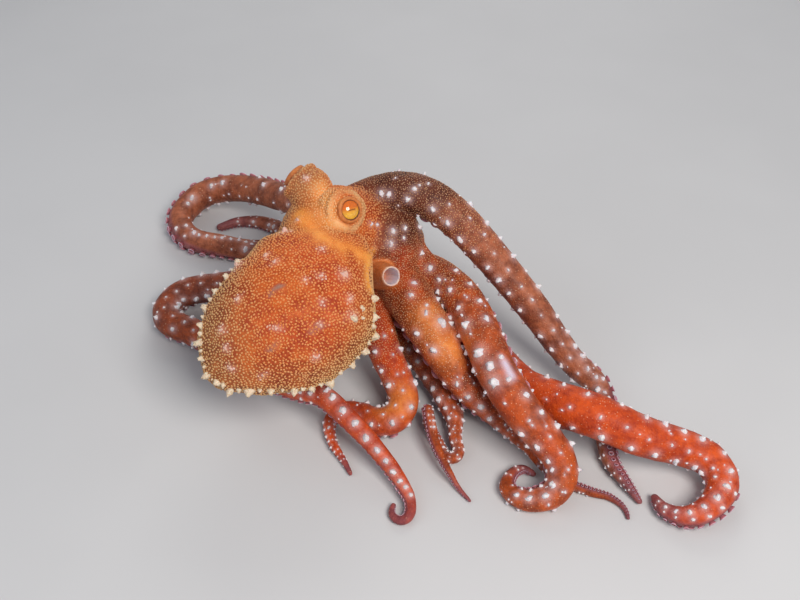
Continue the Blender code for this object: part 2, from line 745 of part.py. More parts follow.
def sucker(name, spot, facing, size):
    """A dished cup that stands on an arm."""
    depth = size * SUCKER_RISE * 2
    work = bmesh.new()
    sides = SUCKER_SIDES_SMALL if size < SUCKER_SMALL else SUCKER_SIDES
    bmesh.ops.create_cone(work, cap_ends=True, segments=sides, radius1=size * 0.8,
                          radius2=size, depth=depth)
    rim = max(work.faces, key=lambda f: f.calc_center_median().z)
    bmesh.ops.poke(work, faces=[rim], offset=-size * SUCKER_DISH)
    turn = facing.to_track_quat("Z", "Y").to_matrix().to_4x4()
    bmesh.ops.transform(work, matrix=Matrix.Translation(spot) @ turn, verts=work.verts)
    for vert in work.verts:
        vert.co = to_world(vert.co)
        vert.co.z = max(vert.co.z, 0.0)
    mesh = bpy.data.meshes.new(name)
    work.to_mesh(mesh)
    work.free()
    obj = bpy.data.objects.new(name, mesh)
    cutters.objects.link(obj)
    return obj


def has_room(own, s, spot, size):
    """True where a sucker stays clear of the crown and of every arm."""
    away = spot - CROWN_CENTRE
    margin = size + SUCKER_ROOM
    oval = Vector((away.x / (CROWN_HALF.x + margin), away.y / (CROWN_HALF.y + margin),
                   away.z / (CROWN_HALF.z + margin)))
    if oval.length < 1:
        return False
    for name, route in routes.items():
        for point, arc in zip(route.line, route.arc):
            thick = route.thick(arc)
            if name == own and abs(arc - s) < 4 * thick:
                continue
            if (point - spot).length < thick + margin:
                return False
    return True


# Suckers in two rows down each arm
for name, route in routes.items():
    ends = [ARMS[name]["root"]] + [route.length * c for c in ARMS[name]["cuts"]] + [route.length]
    grown = {letter: [] for letter in ARM_LETTERS[:len(ends) - 1]}
    s = ends[0] + 3.0
    row = 1
    while s < route.length - 1.5:
        thick = route.thick(s)
        size = min(SUCKER_RADII, key=lambda r: abs(r - SUCKER_SHARE * thick))
        size *= 1 + rng.uniform(-SUCKER_VARY, SUCKER_VARY)
        tangent = route.along(s)
        oral = route.oral(s)
        facing = Matrix.Rotation(math.radians(SUCKER_SPREAD * row), 3, tangent) @ oral
        clear = all(abs(s - end) > size + 0.5 for end in ends[:-1])
        rim = route.at(s) + facing * (thick * (1 - SUCKER_SINK) + size * SUCKER_RISE * 2)
        if clear and has_room(name, s, rim, size):
            index = sum(1 for end in ends[1:-1] if s > end)
            base = route.at(s) + facing * (thick * (1 - SUCKER_SINK) + size * SUCKER_RISE)
            grown[ARM_LETTERS[index]].append(sucker(name + "_cup", base, facing, size))
        s += max(SUCKER_PITCH * thick, SUCKER_PITCH_MIN)
        row = -row
    for letter, cups in grown.items():
        fuse(lengths[name + "_" + letter], cups)

for part, obj in lengths.items():
    obj.data.materials.clear()
    obj.data.materials.append(material(part + "_skin", FLESH["arm"]))
for obj, tone in ((mantle, "mantle"), (head, "head"), (crown, "crown"), (funnel, "funnel"),
                  (eyes["eye_right"], "eye"), (eyes["eye_left"], "eye")):
    obj.data.materials.clear()
    obj.data.materials.append(material(obj.name + "_skin", FLESH[tone], 0.2 if tone == "eye" else 0.45))

for room in arm_rooms + [plain_mantle]:
    bpy.data.objects.remove(room, do_unlink=True)
for obj in octopus.objects:
    for face in obj.data.polygons:
        face.use_smooth = True
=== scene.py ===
# %% [markdown]
# # A white-spotted octopus at rest
# This lesson dresses the plain solids of an octopus as the living animal. The soft body becomes one skin
# without seams. Grains, papillae, white knobs, suckers and eyes are then grown on it as meshes, and each
# surface gets a material made of nodes. The solids are loaded first, and they fix every place and size.

import math
import random

import bpy
import numpy as np
from mathutils import Matrix, Vector, noise
from mathutils.bvhtree import BVHTree


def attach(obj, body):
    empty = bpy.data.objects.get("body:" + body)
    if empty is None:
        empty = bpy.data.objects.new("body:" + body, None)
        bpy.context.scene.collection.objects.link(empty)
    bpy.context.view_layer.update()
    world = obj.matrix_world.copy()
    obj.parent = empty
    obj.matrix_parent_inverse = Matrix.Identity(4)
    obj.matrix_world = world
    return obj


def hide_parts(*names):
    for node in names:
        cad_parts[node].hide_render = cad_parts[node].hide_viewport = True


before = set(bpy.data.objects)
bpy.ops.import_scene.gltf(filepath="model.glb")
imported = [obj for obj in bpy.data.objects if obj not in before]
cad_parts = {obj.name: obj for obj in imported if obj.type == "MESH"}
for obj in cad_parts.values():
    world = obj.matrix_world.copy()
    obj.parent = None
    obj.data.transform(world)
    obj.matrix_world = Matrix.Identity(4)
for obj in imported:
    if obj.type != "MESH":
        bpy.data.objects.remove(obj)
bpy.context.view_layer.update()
MM = 0.001
SEED = 604

# %% [markdown]
# Everything below is laid out in millimetres round a point under the crown of the arms, as the solids are.
# One vector moves that layout to the middle of the model's box, and one factor turns it into metres.
# The helpers select a piece, edit or join it, add a primitive in its place, or make a mesh from points, as
# one would by hand.

# %% Layout and small helpers
SHIFT = Vector((-7.45, 10.70, 0.0))
FLOOR_GAP = 0.03


def to_world(point):
    """Layout millimetres to metres in the frame."""
    return (Vector(point) + SHIFT) * MM


def pick(obj, *others):
    """Select only these objects, the first as the active one."""
    bpy.ops.object.select_all(action="DESELECT")
    for thing in (obj, *others):
        thing.select_set(True)
    bpy.context.view_layer.objects.active = obj


def apply_modifiers(obj):
    """Apply all modifiers of an object."""
    pick(obj)
    for step in list(obj.modifiers):
        bpy.ops.object.modifier_apply(modifier=step.name)


def edit(obj, operator, **values):
    """Run one mesh operator on all of an object in Edit Mode."""
    pick(obj)
    bpy.ops.object.mode_set(mode="EDIT")
    bpy.ops.mesh.select_all(action="SELECT")
    operator(**values)
    bpy.ops.object.mode_set(mode="OBJECT")


def stand(spot, facing):
    """The matrix that stands something on a spot, with +Z along a direction."""
    return Matrix.Translation(spot) @ Vector(facing).to_track_quat("Z", "Y").to_matrix().to_4x4()


def solid(operator, matrix, **sizes):
    """A primitive whose mesh is laid out in millimetres, while the object stays at the origin."""
    operator(**sizes)
    obj = bpy.context.object
    obj.data.transform(Matrix.Diagonal((MM, MM, MM, 1)) @ Matrix.Translation(SHIFT) @ matrix)
    return obj


def mesh_piece(name, points, faces):
    """A smooth mesh object from points in metres."""
    mesh = bpy.data.meshes.new(name)
    mesh.from_pydata([tuple(p) for p in points], [], [tuple(f) for f in faces])
    mesh.update()
    obj = bpy.data.objects.new(name, mesh)
    bpy.context.scene.collection.objects.link(obj)
    mesh.shade_smooth()
    return obj


def joined(name, things):
    """Join objects into one, as Ctrl+J does."""
    pick(things[0], *things[1:])
    bpy.ops.object.join()
    whole = bpy.context.object
    whole.name = name
    whole.data.name = name
    return whole


def to_layout(obj):
    """The points of a mesh as an array, in layout millimetres."""
    flat = np.empty(len(obj.data.vertices) * 3, np.float32)
    obj.data.vertices.foreach_get("co", flat)
    return flat.reshape(-1, 3) / MM - np.array(SHIFT)


def from_layout(obj, points):
    """Put layout points back into a mesh, kept above the floor."""
    points = points + np.array(SHIFT)
    points[:, 2] = np.maximum(points[:, 2], FLOOR_GAP)
    obj.data.vertices.foreach_set("co", (points * MM).astype(np.float32).ravel())
    obj.data.update()


def normals_of(obj):
    """Vertex normals as an array."""
    flat = np.empty(len(obj.data.vertices) * 3, np.float32)
    obj.data.vertices.foreach_get("normal", flat)
    return flat.reshape(-1, 3)


def add_mask(obj, name, values):
    """Store one number per point for the materials to read."""
    mask = obj.data.attributes.new(name, "FLOAT", "POINT")
    mask.data.foreach_set("value", np.asarray(values, np.float32))


def soft(low, high, value):
    """0 below low, 1 above high, with a smooth rise between; low may be the larger one."""
    share = np.clip((value - low) / (high - low), 0.0, 1.0)
    return share * share * (3 - 2 * share)


print("layout moved by", tuple(SHIFT), "mm")

# %% [markdown]
# The photo looks down on the animal at about 42 degrees through a normal lens. The camera stands where
# that view came from, so the arms overlap in the render as they do in the photo.

# %% Camera
CAMERA_ANGLE = math.radians(42.0)
CAMERA_DISTANCE = 560.0
CAMERA_TARGET = Vector((0.0, 0.0, 20.0))
camera_back = Vector((0.0, -math.cos(CAMERA_ANGLE), math.sin(CAMERA_ANGLE)))
camera = bpy.data.objects.new("camera", bpy.data.cameras.new("camera"))
camera.data.lens = 45.0
camera.data.sensor_width = 36.0
camera.data.clip_start = 0.01
camera.location = to_world(CAMERA_TARGET + camera_back * CAMERA_DISTANCE)
camera.rotation_euler = (-camera_back).to_track_quat("-Z", "Y").to_euler()
bpy.context.scene.collection.objects.link(camera)
bpy.context.scene.camera = camera
print("camera at", [round(v, 3) for v in camera.location])

# %% [markdown]
# An octopus arm is a tapering rod that bends freely. Each arm here is a smooth curve through a few way
# points, with its thickness given at shares of its length. A second list says how far the sucker side is
# rolled away from facing down. These are the same driving values that the solids were built from.

# %% Way points of the arms
ARMS = {
    "arm_r1": {
        "way": [(-26, 17, 72), (-10, 14, 82), (4, 9, 87.5), (17, 5, 85), (31, -1, 76),
                (48, -10, 60), (70, -27, 39), (90, -47, 20), (103, -58, 12), (106, -71, 8.4),
                (104, -86, 6.8), (104, -102, 6.2), (110, -116, 5.2), (115, -125, 3.4)],
        "radius": [(0, 11.5), (0.25, 10.2), (0.5, 8.6), (0.72, 6.2), (0.85, 5.2), (1, 1.6)],
        "roll": [(0, 0), (0.25, 25), (0.6, 25), (0.85, 150), (1, 160)],
    },
    "arm_r2": {
        "way": [(0, -2, 45), (17, -7, 31), (34, -23, 22.5), (49, -46, 20), (62, -67, 20.5),
                (77, -81, 24.5), (95, -94, 29), (116, -102, 24), (140, -104, 16), (153, -110, 12.5),
                (154, -121, 10.5), (145, -133, 9.6), (134, -137, 8.2), (125, -132, 6.5), (122, -122, 4)],
        "radius": [(0, 11.5), (0.3, 10.2), (0.5, 11.2), (0.66, 9.8), (0.8, 8.2), (0.92, 5.2), (1, 2.0)],
        "roll": [(0, 0), (0.3, 35), (1, 45)],
    },
    "arm_r3": {
        "way": [(2, -6, 49), (18, -11, 47), (32, -29, 47), (41, -55, 46), (47, -76, 42),
                (57, -92, 34), (69, -104, 25), (77, -113, 16.5), (76, -122, 11), (69, -126, 8),
                (59, -126, 6.4), (52, -119, 5), (54, -110, 4.2), (61, -105, 3.6), (66, -108, 2.8)],
        "radius": [(0, 11.2), (0.3, 10.3), (0.55, 9.6), (0.72, 7.6), (0.85, 4.8), (1, 1.6)],
        "roll": [(0, 0), (0.2, 40), (0.5, 55), (0.68, 0), (0.8, -80), (1, -80)],
    },
    "arm_r4": {
        "way": [(-3, -12, 49), (6, -32, 47.5), (15, -46, 41.5), (24, -59, 33), (35, -71, 22.5),
                (50, -82, 13), (63, -94, 7.5), (73, -106, 4.2), (82, -114, 3.4), (92, -119, 3.4),
                (101, -122, 3.2), (107, -128, 2.8), (108, -134, 2.2)],
        "radius": [(0, 13.0), (0.2, 11.7), (0.34, 9.4), (0.48, 6.4), (0.66, 3.2), (0.88, 2.3), (1, 1.1)],
        "roll": [(0, 0), (0.5, 0), (0.75, 150), (1, 150)],
    },
    "arm_l4": {
        "way": [(-7, -7, 34), (-1, -20, 25), (9, -35, 17), (18, -50, 12.5), (25, -65, 10.2),
                (28, -79, 9), (28, -91, 7.2), (31, -99, 5), (30, -104, 3.6), (24, -100, 3.2),
                (19, -88, 3.2), (15, -78, 4.2), (14, -74, 9), (14, -76, 14), (15, -83, 14),
                (17, -94, 11), (22, -107, 8.2), (28, -116, 3.6), (34, -124, 2.2)],
        "radius": [(0, 10.0), (0.2, 8.4), (0.36, 6.6), (0.46, 3.4), (0.58, 2.8), (0.8, 2.8), (1, 1.0)],
        "roll": [(0, 0), (0.5, 0), (0.66, -80), (1, -80)],
    },
    "arm_l3": {
        "way": [(-10, -14, 38), (-12, -33, 34), (-8, -48, 28), (-2, -60, 21), (2, -70, 15.5),
                (1, -80, 12), (-5, -84, 10.4), (-13, -79, 8.6), (-23, -71, 7), (-32, -70, 5.4),
                (-36, -77, 4.6), (-34, -89, 4), (-28, -100, 3.4), (-24, -108, 2.6)],
        "radius": [(0, 10.0), (0.3, 8.2), (0.55, 7.4), (0.7, 4.8), (0.8, 3.2), (1, 1.2)],
        "roll": [(0, 0), (1, 0)],
    },
    "arm_l2": {
        "way": [(-15, 2, 46), (-36, 7, 42), (-57, 13, 34), (-78, 14, 25), (-99, 14, 18),
                (-117, 15.5, 14), (-129.5, 11, 12), (-133, 1, 10.6), (-128, -8, 10),
                (-116, -14, 10), (-98, -29, 12), (-77, -48, 15), (-56, -66, 20), (-39, -76, 24),
                (-25, -90, 22), (-12, -102, 15), (-2, -113, 8.5), (4, -123, 5.6), (5, -132, 4.6),
                (1, -137, 4), (-4, -132, 3.6), (-3, -126, 3.2)],
        "radius": [(0, 10.5), (0.2, 8.8), (0.33, 8.0), (0.42, 7.8), (0.6, 6.5), (0.78, 5.2), (0.9, 3.6),
                   (1, 1.4)],
        "roll": [(0, -20), (0.3, -30), (0.45, 20), (0.6, 0), (0.85, 0), (0.93, -80), (1, -80)],
    },
    "arm_l1": {
        "way": [(-13, 6, 58), (-31, 27, 54), (-52, 56, 44), (-74, 82, 32), (-99, 105, 21),
                (-122, 111, 14.5), (-136, 102, 10.4), (-139, 85, 9), (-128, 69, 8.6),
                (-109, 63, 8.2), (-91, 60, 7.6), (-76, 64, 7), (-73, 78, 6.4), (-86, 90, 5.8),
                (-102, 93, 5), (-115, 88, 4)],
        "radius": [(0, 10.5), (0.22, 9.0), (0.5, 8.4), (0.7, 7.0), (0.85, 5.2), (1, 2.4)],
        "roll": [(0, 0), (0.15, -75), (0.4, -92), (0.6, -80), (0.75, 0), (1, 0)],
    },
}
print("arms:", ", ".join(ARMS))

# %% [markdown]
# A spline that passes through its way points needs three more steps before it is an arm. Where it comes
# near the floor it is lowered until the arm rests. Bends tighter than the arm's own thickness are eased.
# Last, the direction of the suckers is carried along the curve and turned gently towards the floor.

# %% From way points to arms
REST_UNDER = 1.0
REST_ON_CUPS = 0.2
SETTLE_FROM, SETTLE_TO = 0.5, 4.0
BEND_STEP, BEND_REACH, BEND_LIMIT, BEND_PASSES = 1.0, 2, 0.68, 160
FRAME_STEP, FRAME_BLUR = 2.0, 14.0
PIECES_PER_SPAN = 12


def between(steps, share):
    """Value at a share of the length, from (share, value) steps."""
    return float(np.interp(share, [s for s, _ in steps], [v for _, v in steps]))


def spline_point(p0, p1, p2, p3, t):
    """Centripetal spline between p1 and p2."""
    k1 = math.sqrt((p1 - p0).length)
    k2 = k1 + math.sqrt((p2 - p1).length)
    k3 = k2 + math.sqrt((p3 - p2).length)
    u = k1 + (k2 - k1) * t
    a1 = p0 * ((k1 - u) / k1) + p1 * (u / k1)
    a2 = p1 * ((k2 - u) / (k2 - k1)) + p2 * ((u - k1) / (k2 - k1))
    a3 = p2 * ((k3 - u) / (k3 - k2)) + p3 * ((u - k2) / (k3 - k2))
    b1 = a1 * ((k2 - u) / k2) + a2 * (u / k2)
    b2 = a2 * ((k3 - u) / (k3 - k1)) + a3 * ((u - k1) / (k3 - k1))
    return b1 * ((k2 - u) / (k2 - k1)) + b2 * ((u - k1) / (k2 - k1))


class Arm:
    """One arm's centre line, sampled every millimetre, with its thickness and sucker side."""

    def __init__(self, name, way, radius, roll):
        self.name = name
        self.steps = radius
        pts = [Vector(p) for p in way]
        pts = [pts[0] * 2 - pts[1]] + pts + [pts[-1] * 2 - pts[-2]]
        spans = range(1, len(pts) - 2)
        self.line = [spline_point(*pts[i - 1:i + 3], k / PIECES_PER_SPAN)
                     for i in spans for k in range(PIECES_PER_SPAN)]
        self.line.append(pts[-2])
        self.measure()
        self.settle(roll)
        self.open_bends()
        self.sample(self.sucker_side(roll))

    def measure(self):
        """Arc length along the line."""
        steps = [(b - a).length for a, b in zip(self.line, self.line[1:])]
        self.arc = np.concatenate([[0.0], np.cumsum(steps)])
        self.length = float(self.arc[-1])

    def spot(self, s):
        """Point on the line at arc length s."""
        return Vector([np.interp(s, self.arc, [p[k] for p in self.line]) for k in range(3)])

    def settle(self, roll):
        """Lower what comes near the floor until the arm rests on it."""
        for i, spot in enumerate(self.line):
            share = self.arc[i] / self.length
            under = REST_UNDER + REST_ON_CUPS * max(0.0, math.cos(math.radians(between(roll, share))))
            level = under * between(self.steps, share)
            lift = spot.z - level
            ease = min(max((lift - SETTLE_FROM) / (SETTLE_TO - SETTLE_FROM), 0.0), 1.0)
            spot.z = level + lift * ease * ease * (3 - 2 * ease) if lift > 0 else level
        self.measure()

    def open_bends(self):
        """Ease the bends that are too tight for the thickness of the arm."""
        count = round(self.length / BEND_STEP)
        self.line = [self.spot(self.length * k / count) for k in range(count + 1)]
        for _ in range(BEND_PASSES):
            self.measure()
            eased = set()
            for i in range(BEND_REACH, count - BEND_REACH + 1):
                behind = self.line[i] - self.line[i - BEND_REACH]
                ahead = self.line[i + BEND_REACH] - self.line[i]
                bend = ahead.angle(behind) / (0.5 * (behind.length + ahead.length))
                if bend * between(self.steps, self.arc[i] / self.length) > BEND_LIMIT:
                    eased.update(range(i - BEND_REACH, i + BEND_REACH + 1))
            if not eased:
                break
            moved = list(self.line)
            for i in eased - {0, count}:
                moved[i] = self.line[i].lerp((self.line[i - 1] + self.line[i + 1]) * 0.5, 0.5)
            self.line = moved
        self.measure()

    def along(self, s):
        """Unit direction of the arm at arc length s."""
        ahead = self.spot(min(s + 1.0, self.length))
        return (ahead - self.spot(max(s - 1.0, 0.0))).normalized()

    def sucker_side(self, roll):
        """Directions in which the suckers face, every FRAME_STEP along the arm."""
        stations = [FRAME_STEP * k for k in range(int(self.length / FRAME_STEP) + 1)]
        lead = [self.along(s) for s in stations]
        side = lead[0].orthogonal().normalized()
        carried, turns, weights = [], [], []
        last = 0.0
        for tangent in lead:
            side = (side - tangent * side.dot(tangent)).normalized()
            other = tangent.cross(side)
            down = Vector((0, 0, -1))
            down = down - tangent * down.dot(tangent)
            turn = math.atan2(down.dot(other), down.dot(side))
            turn -= 2 * math.pi * round((turn - last) / (2 * math.pi))
            last = turn
            carried.append((side, other))
            turns.append(turn)
            weights.append(down.length_squared + 0.001)
        reach = int(FRAME_BLUR / FRAME_STEP)
        faces = []
        for i, (side, other) in enumerate(carried):
            low, high = max(0, i - reach), min(len(turns), i + reach + 1)
            turn = np.average(turns[low:high], weights=weights[low:high])
            turn += math.radians(between(roll, stations[i] / self.length))
            faces.append(side * math.cos(turn) + other * math.sin(turn))
        return np.array(faces)

    def sample(self, faces):
        """Fill the arrays that the later steps read, one row for each millimetre."""
        self.s = np.arange(0.0, self.length, 1.0)
        line = np.array(self.line)
        self.centre = np.stack([np.interp(self.s, self.arc, line[:, k]) for k in range(3)], 1)
        self.ahead = np.array([self.along(s) for s in self.s])
        self.thick = np.array([between(self.steps, s / self.length) for s in self.s])
        stations = np.arange(len(faces)) * FRAME_STEP
        oral = np.stack([np.interp(self.s, stations, faces[:, k]) for k in range(3)], 1)
        oral -= self.ahead * (oral * self.ahead).sum(1, keepdims=True)
        self.oral = oral / np.linalg.norm(oral, axis=1, keepdims=True)

    def at(self, s):
        """Centre, direction, sucker side and thickness at arc length s."""
        rows = [np.array([np.interp(s, self.s, rows[:, k]) for k in range(3)])
                for rows in (self.centre, self.ahead, self.oral)]
        centre, ahead, oral = (Vector(row) for row in rows)
        return centre, ahead.normalized(), oral.normalized(), float(np.interp(s, self.s, self.thick))


arms = {name: Arm(name, **shape) for name, shape in ARMS.items()}
print("arm lengths in mm:", {name: round(arm.length) for name, arm in arms.items()})

# %% [markdown]
# The trunk is a soft bag, the mantle, on a narrower head. Both are lofts: oval rings set one after another
# and bridged. The solids have straight runs between few rings. Here a spline through the same rings makes
# the sides full and round.

# %% Mantle and head as lofts
MANTLE_AXES = (Vector((1.0, 0.0, 0.0)), Vector((0.0, -0.56, 0.83)).normalized())
MANTLE_SQUARE = 2.3
MANTLE_SECTIONS = [
    (-43, -24.6, 82, 26.0, 17.4),
    (-45, -35.9, 78.3, 31.0, 22.0),
    (-49, -48.4, 73.2, 35.5, 26.0),
    (-52, -59, 67, 40.0, 28.0),
    (-55, -70, 60, 41.0, 28.0),
    (-58, -78, 54.5, 37.5, 25.0),
    (-61, -85.5, 50.5, 32.0, 19.0),
    (-65, -92, 46.5, 22.0, 10.0),
]
HEAD_WIDTH_AXIS = Vector((0.78, -0.62, 0.0)).normalized()
HEAD_SECTIONS = [
    (-44, -32, 77, 19.5, 17.0),
    (-41, -21, 78, 21.5, 19.5),
    (-36, -9, 77.3, 23.0, 20.5),
    (-27, -1, 73.5, 22.0, 20.0),
    (-16, 4, 67, 18.0, 18.0),
]
LOFT_SIDES = 72
LOFT_CUTS = 6
CAP_REACH = 0.35


def rings_between(sections):
    """The sections with LOFT_CUTS smooth ones added between each two."""
    rows = np.array(sections, float)
    rows = np.vstack([2 * rows[0] - rows[1], rows, 2 * rows[-1] - rows[-2]])
    out = []
    for i in range(1, len(rows) - 2):
        p0, p1, p2, p3 = rows[i - 1:i + 3]
        for k in range(LOFT_CUTS):
            t = k / LOFT_CUTS
            out.append(0.5 * (2 * p1 + (p2 - p0) * t + (2 * p0 - 5 * p1 + 4 * p2 - p3) * t ** 2
                              + (3 * p1 - p0 - 3 * p2 + p3) * t ** 3))
    return out + [rows[-2]]


def section_axes(rows, i, width_axis):
    """Width and height direction of ring i, square to the body's line."""
    along = Vector(rows[min(i + 1, len(rows) - 1)][:3]) - Vector(rows[max(i - 1, 0)][:3])
    along.normalize()
    wide = (width_axis - along * width_axis.dot(along)).normalized()
    return wide, along.cross(wide)


def loft(name, sections, axes=None, square=2.0, width_axis=None):
    """A closed body through oval rings."""
    rows = rings_between(sections)
    points = []
    for i, row in enumerate(rows):
        wide, high = axes or section_axes(rows, i, width_axis)
        for k in range(LOFT_SIDES):
            turn = 2 * math.pi * k / LOFT_SIDES
            across = math.copysign(abs(math.cos(turn)) ** (2 / square), math.cos(turn))
            up = math.copysign(abs(math.sin(turn)) ** (2 / square), math.sin(turn))
            points.append(to_world(Vector(row[:3]) + wide * (row[3] * across) + high * (row[4] * up)))
    first, last = Vector(sections[0][:3]), Vector(sections[-1][:3])
    ends = [first + (first - Vector(sections[1][:3])).normalized() * sections[0][4] * CAP_REACH,
            last + (last - Vector(sections[-2][:3])).normalized() * sections[-1][4] * CAP_REACH]
    faces = []
    for i in range(len(rows) - 1):
        for k in range(LOFT_SIDES):
            nxt = (k + 1) % LOFT_SIDES
            faces.append((i * LOFT_SIDES + k, i * LOFT_SIDES + nxt,
                          (i + 1) * LOFT_SIDES + nxt, (i + 1) * LOFT_SIDES + k))
    base = (len(rows) - 1) * LOFT_SIDES
    for k in range(LOFT_SIDES):
        nxt = (k + 1) % LOFT_SIDES
        faces.append((len(points), nxt, k))
        faces.append((len(points) + 1, base + k, base + nxt))
    obj = mesh_piece(name, points + [to_world(p) for p in ends], faces)
    edit(obj, bpy.ops.mesh.normals_make_consistent, inside=False)
    return obj


mantle = loft("mantle_form", MANTLE_SECTIONS, axes=MANTLE_AXES, square=MANTLE_SQUARE)
head = loft("head_form", HEAD_SECTIONS, width_axis=HEAD_WIDTH_AXIS)


def surface_of(obj):
    """A search tree of a mesh, in layout millimetres."""
    tree_points = [Vector(p) for p in to_layout(obj)]
    return BVHTree.FromPolygons(tree_points, [tuple(f.vertices) for f in obj.data.polygons])


mantle_surface = surface_of(mantle)
head_surface = surface_of(head)
print("mantle and head rings:", len(rings_between(MANTLE_SECTIONS)), len(rings_between(HEAD_SECTIONS)))

# %% [markdown]
# The eyes of an octopus stand on two mounds, each with a raised ring of skin round it and a lid close to
# the eyeball. The mounds are balls and the rings are tori, because the skin that is drawn over all forms
# in a moment will melt their edges together.

# %% Eye mounds, crown and funnel
EYES = {
    "right": (Vector((-27.0, -18.5, 96.5)), Vector((0.50, -0.68, 0.54)).normalized()),
    "left": (Vector((-50.5, 3.0, 98.5)), Vector((-0.74, 0.54, 0.40)).normalized()),
}
MOUND_RADIUS, MOUND_SET_BACK = 11.5, 6.5
LID_RADIUS, LID_THICKNESS, LID_FORWARD = 5.7, 1.2, 4.7
RIDGE_RADIUS, RIDGE_THICKNESS, RIDGE_FORWARD = 9.6, 1.3, 0.6
CROWN_CENTRE = Vector((-9, 0, 61))
CROWN_HALF = Vector((22, 24, 24))
FUNNEL_MOUTH = Vector((-4.0, -36.4, 68.7))
FUNNEL_AXIS = Vector((0.45, -0.72, 0.53)).normalized()
FUNNEL_LENGTH = 26.0
FUNNEL_ROOT_RADIUS, FUNNEL_MOUTH_RADIUS = 8.6, 5.0

add_ball, add_cone = bpy.ops.mesh.primitive_uv_sphere_add, bpy.ops.mesh.primitive_cone_add
forms = [mantle, head]
for centre, facing in EYES.values():
    forms.append(solid(add_ball, stand(centre - facing * MOUND_SET_BACK, facing),
                       segments=48, ring_count=32, radius=MOUND_RADIUS))
    for ring_radius, thickness, forward in ((LID_RADIUS, LID_THICKNESS, LID_FORWARD),
                                            (RIDGE_RADIUS, RIDGE_THICKNESS, RIDGE_FORWARD)):
        forms.append(solid(bpy.ops.mesh.primitive_torus_add, stand(centre + facing * forward, facing),
                           major_radius=ring_radius, minor_radius=thickness,
                           major_segments=64, minor_segments=16))
forms.append(solid(add_ball, Matrix.Translation(CROWN_CENTRE) @ Matrix.Diagonal((*CROWN_HALF, 1)),
                   segments=64, ring_count=48, radius=1.0))
funnel_root = FUNNEL_MOUTH - FUNNEL_AXIS * FUNNEL_LENGTH
forms.append(solid(add_cone, stand((FUNNEL_MOUTH + funnel_root) / 2, FUNNEL_AXIS), vertices=48,
                   radius1=FUNNEL_ROOT_RADIUS, radius2=FUNNEL_MOUTH_RADIUS, depth=FUNNEL_LENGTH))
print("body forms:", len(forms))

# %% [markdown]
# Each arm is a bevelled curve: the line sets the path, each knot's radius the thickness. Converted to a
# mesh it is a closed tube. Between neighbouring arms a web of thin skin spans the corner near the crown.

# %% Arm tubes and webs
TUBE_STEP = 1.5
TIP_ROUND = ((0.5, 0.87), (0.87, 0.5), (1.0, 0.12))
WEB_PAIRS = [("arm_r2", "arm_r3"), ("arm_r3", "arm_r4"), ("arm_r4", "arm_l4"), ("arm_l4", "arm_l3"),
             ("arm_l3", "arm_l2"), ("arm_l2", "arm_l1"), ("arm_r1", "arm_r3")]
WEB_REACH = 44.0
WEB_HOLLOW = 16.0
WEB_THICKNESS = 2.6


def arm_tube(arm):
    """A closed tube along an arm, with a round tip."""
    stops = np.linspace(0.0, arm.length - 0.5, int(arm.length / TUBE_STEP))
    knots = [(arm.at(s)[0], arm.at(s)[3]) for s in stops]
    tip, ahead, _, size = arm.at(stops[-1])
    knots += [(tip + ahead * size * forward, size * share) for forward, share in TIP_ROUND]
    curve = bpy.data.curves.new(arm.name, "CURVE")
    curve.dimensions = "3D"
    curve.bevel_depth = MM
    curve.bevel_resolution = 8
    curve.use_fill_caps = True
    line = curve.splines.new("POLY")
    line.points.add(len(knots) - 1)
    for knot, (spot, size) in zip(line.points, knots):
        knot.co = (*to_world(spot), 1.0)
        knot.radius = size
    obj = bpy.data.objects.new(arm.name + "_form", curve)
    bpy.context.scene.collection.objects.link(obj)
    pick(obj)
    bpy.ops.object.convert(target="MESH")
    return bpy.context.object


def web(first, second):
    """A thin sheet between two arms, hollowed at its free edge."""
    columns, rows = 12, 16
    points = []
    for i in range(rows + 1):
        for k in range(columns + 1):
            share = k / columns
            reach = WEB_REACH - WEB_HOLLOW * 4 * share * (1 - share)
            s = 4.0 + (reach - 4.0) * i / rows
            a, b = first.at(s)[0], second.at(s)[0]
            points.append(to_world(a.lerp(b, share)))
    faces = [(i * (columns + 1) + k, i * (columns + 1) + k + 1,
              (i + 1) * (columns + 1) + k + 1, (i + 1) * (columns + 1) + k)
             for i in range(rows) for k in range(columns)]
    obj = mesh_piece("web_form", points, faces)
    wall = obj.modifiers.new("wall", "SOLIDIFY")
    wall.thickness = WEB_THICKNESS * MM
    wall.offset = 0.0
    apply_modifiers(obj)
    return obj


forms += [arm_tube(arm) for arm in arms.values()]
forms += [web(arms[a], arms[b]) for a, b in WEB_PAIRS]
print("forms under the skin:", len(forms))

# %% [markdown]
# A voxel remesh draws one skin over all the forms, which leaves no seam at the arm roots. It is made fine,
# relaxed a little, and relaxed much more round the crown, where the arms flow into each other. Other ways,
# such as Boolean unions, leave a crease at every join.

# %% One skin over all forms
VOXEL = 0.78
RELAX = (0.5, 4)
FILLET = (0.5, 26)
FILLET_REACH = 17.0
NAPE = (0.5, 110)
NAPE_REACH = (6.0, 11.0)
NAPE_BACK, NAPE_LOW = -60, 50
COLLAR_SIDE = (-19.0, -27.0)
KEEP_FUNNEL, KEEP_EYES = (9, 16), (11, 16)


def distance_to_eyes(points):
    """Distance of each point to the nearer eye."""
    return np.min([np.linalg.norm(points - np.array(c), axis=1) for c, _ in EYES.values()], axis=0)


def distance_to(surface, points):
    """Distance of each point to a surface."""
    return np.array([surface.find_nearest(Vector(p))[3] for p in points])


def weigh(obj, name, weights):
    """A vertex group from weights between 0 and 1, in ten steps."""
    group = obj.vertex_groups.new(name=name)
    for level in range(1, 11):
        chosen = np.nonzero((weights > (level - 0.5) / 10) & (weights <= (level + 0.5) / 10))[0]
        group.add(chosen.tolist(), level / 10, "REPLACE")


